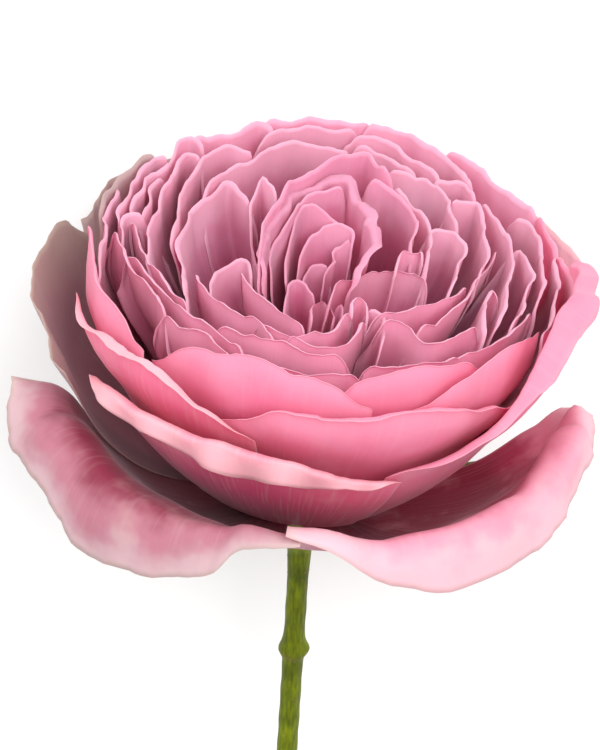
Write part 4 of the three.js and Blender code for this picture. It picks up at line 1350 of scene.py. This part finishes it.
@dataclass
class Stem:
    """The stem with its hip, its two leaf scars and their dormant buds, and the slanted cut.

    Attributes:
        length: Millimetres from the top of the hip to the cut.
        diameter: Millimetres across the even stem.
        hip: Millimetres across the hip.
        lean: Sideways run for each millimetre down.
        offset: Millimetres that it steps aside under the hip.
        nodes: Depths of the leaf scars.
        slant: Drop of the cut face for each millimetre across.
    """

    length: float = 150.0
    diameter: float = 4.3
    hip: float = 12.0
    lean: float = 0.06
    offset: float = 0.9
    nodes: tuple[float, ...] = (40.0, 104.0)
    slant: float = 0.9

    SIDES = 40
    HIP_RINGS = 40
    STEM_RINGS = 230
    HIP_END = 22.0  # Depth where the taper of the hip has run out.
    BUD = 0.55  # Millimetres that a dormant bud stands out above its scar.
    LEDGE = 0.30  # Millimetres that the leaf scar's ledge stands out.
    RIB = 0.035  # Height of the faint ribs along the stem.
    HIP_TOP = 0.35  # Millimetres that the skin starts under the top of the hip.
    CUT_RINGS = 14  # Rings above the slanted cut that close up before they would cross it.
    LEAST_STEP = 0.05  # Millimetres between those rings.
    CUT_BROWN = 0.9  # How brown the dried cut face is.
    NODE_SWELL = 0.36  # How much thicker a node is, as a share of the stem's radius.

    def centre(self, depth: np.ndarray) -> np.ndarray:
        """Returns how far sideways the stem's middle lies at each depth."""
        return (self.offset + self.lean * depth) * smooth(depth, 0, 16)

    def radius(self, depth: np.ndarray) -> np.ndarray:
        """Works out the stem's radius from hip to cut, with a swelling at each node.

        Args:
            depth: Depths below the top of the hip.

        Returns:
            The radii.
        """
        even = self.diameter / 2
        hip = self.hip / 2
        knots = [0.0, 0.5, 2.0, 5.0, 8.5, 12.0, 15.0, self.HIP_END, self.length]
        sizes = [0.6 * hip, 0.92 * hip, 0.98 * hip, hip, 0.86 * hip, 0.6 * hip, 1.16 * even,
                 even, even]
        found = np.interp(depth, knots, sizes)
        for at in self.nodes:
            above = np.exp(-np.maximum(0, at - depth) ** 2 / 5.0)
            below = np.exp(-np.maximum(0, depth - at) ** 2 / 2.2)
            found = found + even * self.NODE_SWELL * np.minimum(above, below)
        return found + 0.05 * np.sin(depth * 0.9) * smooth(depth, 20, 30)

    def rings(self, depth: np.ndarray) -> tuple[np.ndarray, np.ndarray]:
        """Lays the rings of points that the stem's skin is made of.

        Args:
            depth: Depth of each ring.

        Returns:
            The points, rings by sides by 3, and how far each is on a leaf scar.
        """
        turn = np.linspace(0, 2 * math.pi, self.SIDES, endpoint=False)
        radius = self.radius(depth)[:, None] * np.ones(self.SIDES)
        ribs = self.RIB * np.sin(5 * turn + 0.02 * depth[:, None]) * smooth(depth, 14, 30)[:, None]
        radius = radius + ribs
        scar = np.zeros_like(radius)
        for k, at in enumerate(self.nodes):
            toward = np.cos(turn - math.pi * k)[None, :]
            below = depth[:, None] - at
            bud = np.exp(-((below + 0.8) / 1.3) ** 2)
            radius = radius + self.BUD * bud * np.maximum(0, toward) ** 6
            ledge = np.exp(-((below - 0.4) / 1.1) ** 2)
            radius = radius + self.LEDGE * ledge * np.maximum(0, -toward) ** 3
            ring = np.exp(-((below - 1.0) / 0.5) ** 2)
            scar = np.maximum(scar, 0.7 * ring * (0.3 + 0.7 * np.maximum(0, -toward)))
        x = self.centre(depth)[:, None] + radius * np.cos(turn)
        f = -radius * np.sin(turn)
        z = -depth[:, None] + np.zeros_like(x)
        z[-1] += self.slant * (-f[-1] - radius[-1])
        for back in range(2, self.CUT_RINGS):
            z[-back] = np.maximum(z[-back], z[-back + 1] + self.LEAST_STEP)
        return np.stack([x, f, z], -1), scar

    def object(self, paint: bpy.types.Material) -> bpy.types.Object:
        """Builds the stem's mesh.

        Args:
            paint: Its green skin.

        Returns:
            The stem object.
        """
        depth = np.concatenate([np.linspace(0.4, self.HIP_END, self.HIP_RINGS),
                                np.linspace(self.HIP_END + 0.6, self.length, self.STEM_RINGS)])
        points, scar = self.rings(depth)
        rings, sides = points.shape[:2]
        cut_middle = [points[-1, :, 0].mean(), 0, points[-1, :, 2].mean()]
        flat = np.vstack([points.reshape(-1, 3), [[0, 0, -self.HIP_TOP], cut_middle]])
        faces = [[k * sides + i, (k + 1) * sides + i, (k + 1) * sides + (i + 1) % sides,
                  k * sides + (i + 1) % sides] for k in range(rings - 1) for i in range(sides)]
        top, end, last = rings * sides, rings * sides + 1, (rings - 1) * sides
        for i in range(sides):
            n = (i + 1) % sides
            faces += [[top, i, n], [end, last + n, last + i]]
        mesh = bpy.data.meshes.new("stem_skin")
        mesh.from_pydata(REST.world(flat).tolist(), [], faces)
        mesh.polygons.foreach_set("use_smooth", [len(p.vertices) == 4 for p in mesh.polygons])
        values = np.concatenate([scar.ravel(), [0.0, self.CUT_BROWN]])
        values[last:top] = self.CUT_BROWN
        layer = mesh.attributes.new("scar", "FLOAT", "POINT")
        layer.data.foreach_set("value", values)
        self.unroll(mesh, depth)
        mesh.materials.append(paint)
        return linked_object("stem_skin", mesh)

    def unroll(self, mesh: bpy.types.Mesh, depth: np.ndarray) -> None:
        """Writes the UV map size: millimetres round the stem and down it.

        Args:
            mesh: The stem's mesh.
            depth: Depth of each ring.
        """
        sides = self.SIDES
        uv = mesh.uv_layers.new(name="size")
        for polygon in mesh.polygons:
            closing = polygon.index % sides == sides - 1
            for loop in polygon.loop_indices:
                ring, side = divmod(mesh.loops[loop].vertex_index, sides)
                if ring < len(depth):
                    wrap = side + (sides if side == 0 and closing else 0)
                    uv.data[loop].uv = (wrap / sides * math.pi * self.diameter, depth[ring])


# ---- Small things scattered over the green skin -----------------------------------------------


class Scatter:
    """A Geometry Nodes tree that sets small rounded beads on a green skin, at random places.

    Its inputs are the skin, how many beads there are to a square metre, the largest bead's size in
    metres, how much longer than wide they are, the seed and the paint. The same tree makes the
    pores of the stem and the glands along the sepals.
    """

    FLATNESS = 0.45  # Height of a bead, against its width.
    LEAST_SIZE = 0.5  # Size of the smallest bead, against the largest.

    def __init__(self) -> None:
        """Builds the tree."""
        tree = bpy.data.node_groups.new("scattered_beads", "GeometryNodeTree")
        face = tree.interface
        for title, kind in (("Geometry", "Geometry"), ("Density", "Float"), ("Bead size", "Float"),
                            ("Stretch", "Float"), ("Seed", "Int"), ("Paint", "Material")):
            face.new_socket(title, in_out="INPUT", socket_type=f"NodeSocket{kind}")
        face.new_socket("Geometry", in_out="OUTPUT", socket_type="NodeSocketGeometry")
        given = node(tree, "NodeGroupInput").outputs
        spots = node(tree, "GeometryNodeDistributePointsOnFaces", {
            "Mesh": given["Geometry"], "Density": given["Density"], "Seed": given["Seed"]})
        bead = node(tree, "GeometryNodeMeshIcoSphere", {"Radius": 1.0, "Subdivisions": 2})
        least = node(tree, "ShaderNodeMath", {
            0: given["Bead size"], 1: self.LEAST_SIZE}, operation="MULTIPLY")
        size = node(tree, "FunctionNodeRandomValue", {
            2: least.outputs[0], 3: given["Bead size"], "Seed": given["Seed"]}, data_type="FLOAT")
        shape = node(tree, "ShaderNodeCombineXYZ", {
            "X": 1.0, "Y": given["Stretch"], "Z": self.FLATNESS})
        scale = node(tree, "ShaderNodeVectorMath", {
            0: shape.outputs[0], "Scale": size.outputs[1]}, operation="SCALE")
        laid = node(tree, "GeometryNodeInstanceOnPoints", {
            "Points": spots.outputs["Points"], "Instance": bead.outputs["Mesh"],
            "Rotation": spots.outputs["Rotation"], "Scale": scale.outputs[0]})
        real = node(tree, "GeometryNodeRealizeInstances", {"Geometry": laid.outputs[0]})
        dressed = node(tree, "GeometryNodeSetMaterial", {
            "Geometry": real.outputs[0], "Material": given["Paint"]})
        node(tree, "NodeGroupOutput", {"Geometry": dressed.outputs[0]})
        self.tree = tree

    def make(self, name: str, skin: bpy.types.Object, paint: bpy.types.Material,
             **values: float) -> bpy.types.Object:
        """Scatters beads over a skin and returns them as one plain mesh object.

        Args:
            name: The new object's name.
            skin: The piece they sit on, which is left as it is.
            paint: The beads' paint.
            **values: The tree's other inputs, by name with underscores for spaces.

        Returns:
            The beads.
        """
        carrier = linked_object(f"{name}_carrier", skin.data)
        modifier = carrier.modifiers.new("beads", "NODES")
        modifier.node_group = self.tree
        sockets = {item.name: item.identifier for item in self.tree.interface.items_tree
                   if item.in_out == "INPUT"}
        modifier[sockets["Paint"]] = paint
        for title, value in values.items():
            modifier[sockets[title.replace("_", " ")]] = value
        shown = carrier.evaluated_get(bpy.context.evaluated_depsgraph_get())
        mesh = bpy.data.meshes.new_from_object(shown)
        mesh.name = name
        mesh.polygons.foreach_set("use_smooth", [True] * len(mesh.polygons))
        bpy.data.objects.remove(carrier)
        return linked_object(name, mesh)


# ---- The whole flower -------------------------------------------------------------------------


class Flower:
    """Builds and dresses every piece of the rose."""

    def __init__(self, paints: Paints) -> None:
        """Keeps the paints to dress the pieces with, and makes ready to scatter small things."""
        self.paints = paints
        self.scatter = Scatter()

    def hand_over(self, made: bpy.types.Object, stands_for: str | None) -> None:
        """Says what a piece rides on and which CAD node it dresses.

        Args:
            made: The piece.
            stands_for: The CAD node, or None where CAD leaves the piece out.
        """
        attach(made, "root")
        if stands_for:
            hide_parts(stands_for)
        LOG.info("%s: %d faces", made.name, len(made.data.polygons))

    def petals(self) -> None:
        """Builds the cup's petals, those with a CAD node and the small ones between."""
        for group in (left_fan, back_row, right_fan, inside_front, folded_heart, cup_front):
            for petal in group():
                suffix = "" if petal.stands_for is None else "_skin"
                made = petal.sheet().build(petal.name + suffix, self.paints.get(petal.finish))
                self.hand_over(made, petal.stands_for)

    def guards(self) -> None:
        """Builds the five guard petals."""
        for guard in guards():
            made = guard.sheet().build(guard.name + "_skin", self.paints.get(guard.finish))
            self.hand_over(made, guard.name)

    def sepals(self) -> None:
        """Builds the five sepals, each with its glands."""
        green = self.paints.get(GreenFinish(
            "sepal_green_skin", lit="#8E9B52", shade="#5E7136", speck=2.4, stretch=0.3))
        gland = self.paints.get(BeadFinish("sepal_gland", "#8A5A3C"))
        for index in range(Sepal.COUNT):
            name = f"sepal_{index + 1}"
            made = Sepal(index).sheet().build(f"{name}_skin", green)
            glands = self.scatter.make(f"{name}_glands", made, gland, Density=16e4,
                                       Bead_size=0.13 * MM, Stretch=1.0, Seed=index)
            for piece in (made, glands):
                self.hand_over(piece, name)

    def stem(self) -> None:
        """Builds the stem with its pores."""
        made = Stem().object(self.paints.get(GreenFinish("young_rose_stem_bark")))
        pores = self.scatter.make(
            "stem_pores", made, self.paints.get(BeadFinish("stem_pore_cork", "#8C7A35")),
            Density=11e4, Bead_size=0.19 * MM, Stretch=1.7, Seed=4)
        for piece in (made, pores):
            self.hand_over(piece, "stem")


# ---- Studio -----------------------------------------------------------------------------------


@dataclass(frozen=True)
class Lamp:
    """One soft box.

    Attributes:
        name: Its name.
        way: Direction from the flower to the lamp, in the flower's own frame.
        power: Watts.
        size: Metres across.
        colour: Its tint.
    """

    name: str
    way: tuple[float, float, float]
    power: float
    size: float
    colour: str = "#FFFFFF"


@dataclass
class Studio:
    """The pale table, the soft light and the camera.

    Attributes:
        rise: Degrees that the camera stands above the flower's rim plane.
        bank: Degrees that the flower's axis leans to the right in the view.
        distance: Metres from the camera to the flower.
        across: Metres that the long side of the view covers at the flower.
        aim: Millimetres from the hip to the middle of the view, across and up the view.
    """

    rise: float = 31.0
    bank: float = 7.5
    distance: float = 0.65
    across: float = 0.150
    aim: tuple[float, float] = (0.2, 22.0)

    ROOM_LIGHT = 0.88
    LAMP_DISTANCE = 1.1  # Metres.
    TABLE_HALF = 4.0  # Metres.
    SENSOR = 36.0  # Millimetres along its long side.
    LIT_HEIGHT = 25.0  # Millimetres above the hip that the lamps point at.
    LAMPS = (
        Lamp("key_soft_box", (0.35, 0.85, 0.75), 10.0, 0.8),
        Lamp("fill_soft_box", (-0.9, 0.5, 0.9), 5.0, 0.9),
    )

    def table(self, paint: bpy.types.Material) -> None:
        """Lays the plain table under the flower.

        Args:
            paint: The table's material.
        """
        mesh = bpy.data.meshes.new("table")
        half = self.TABLE_HALF
        mesh.from_pydata([(-half, -half, 0), (half, -half, 0), (half, half, 0), (-half, half, 0)],
                         [], [(0, 1, 2, 3)])
        mesh.materials.append(paint)
        made = linked_object("table", mesh)

    def lights(self) -> None:
        """Hangs the soft boxes and lights the room evenly."""
        heart = Vector(REST.world(np.array([[0.0, 0.0, self.LIT_HEIGHT]]))[0])
        for lamp in self.LAMPS:
            way = REST.direction(lamp.way).normalized()
            light = bpy.data.lights.new(lamp.name, "AREA")
            light.energy, light.size = lamp.power, lamp.size
            light.color = linear(lamp.colour)[:3]
            made = linked_object(lamp.name, light)
            made.location = heart + way * self.LAMP_DISTANCE
            made.rotation_euler = way.to_track_quat("Z", "Y").to_euler()
        world = bpy.data.worlds.new("even_room")
        world.use_nodes = True
        back = world.node_tree.nodes["Background"]
        back.inputs["Color"].default_value = (1.0, 0.995, 0.99, 1.0)
        back.inputs["Strength"].default_value = self.ROOM_LIGHT
        bpy.context.scene.world = world
        bpy.context.scene.view_settings.view_transform = "Standard"

    def camera(self) -> None:
        """Stands the camera over the flower, as far above its rim plane as it is seen from."""
        rise, bank = math.radians(self.rise), math.radians(self.bank)
        to_camera = np.array([0, math.cos(rise), math.sin(rise)])
        side = np.array([1.0, 0, 0])
        up = np.array([0, -math.sin(rise), math.cos(rise)])
        right = math.cos(bank) * side + math.sin(bank) * up
        top = math.cos(bank) * up - math.sin(bank) * side
        spot = to_camera * self.distance / MM + right * self.aim[0] + top * self.aim[1]
        place = Vector(REST.world(spot[None, :])[0])
        axes = Matrix([REST.direction(right), REST.direction(top), REST.direction(to_camera)])
        lens = bpy.data.cameras.new("camera")
        lens.sensor_fit = "AUTO"
        lens.sensor_width = self.SENSOR
        lens.lens = self.SENSOR * self.distance / self.across
        lens.clip_start, lens.clip_end = 0.01, 20.0
        made = linked_object("camera", lens)
        made.matrix_world = Matrix.Translation(place) @ axes.transposed().to_4x4()
        bpy.context.scene.camera = made


def main() -> None:
    """Loads the frame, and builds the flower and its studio."""
    logging.basicConfig(level=logging.INFO, format="%(name)s: %(message)s")
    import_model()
    studio = Studio()
    paints = Paints()
    studio.camera()
    studio.table(paints.get(TableFinish()))
    studio.lights()
    flower = Flower(paints)
    flower.petals()
    flower.guards()
    flower.sepals()
    flower.stem()


if __name__ == "__main__":
    main()
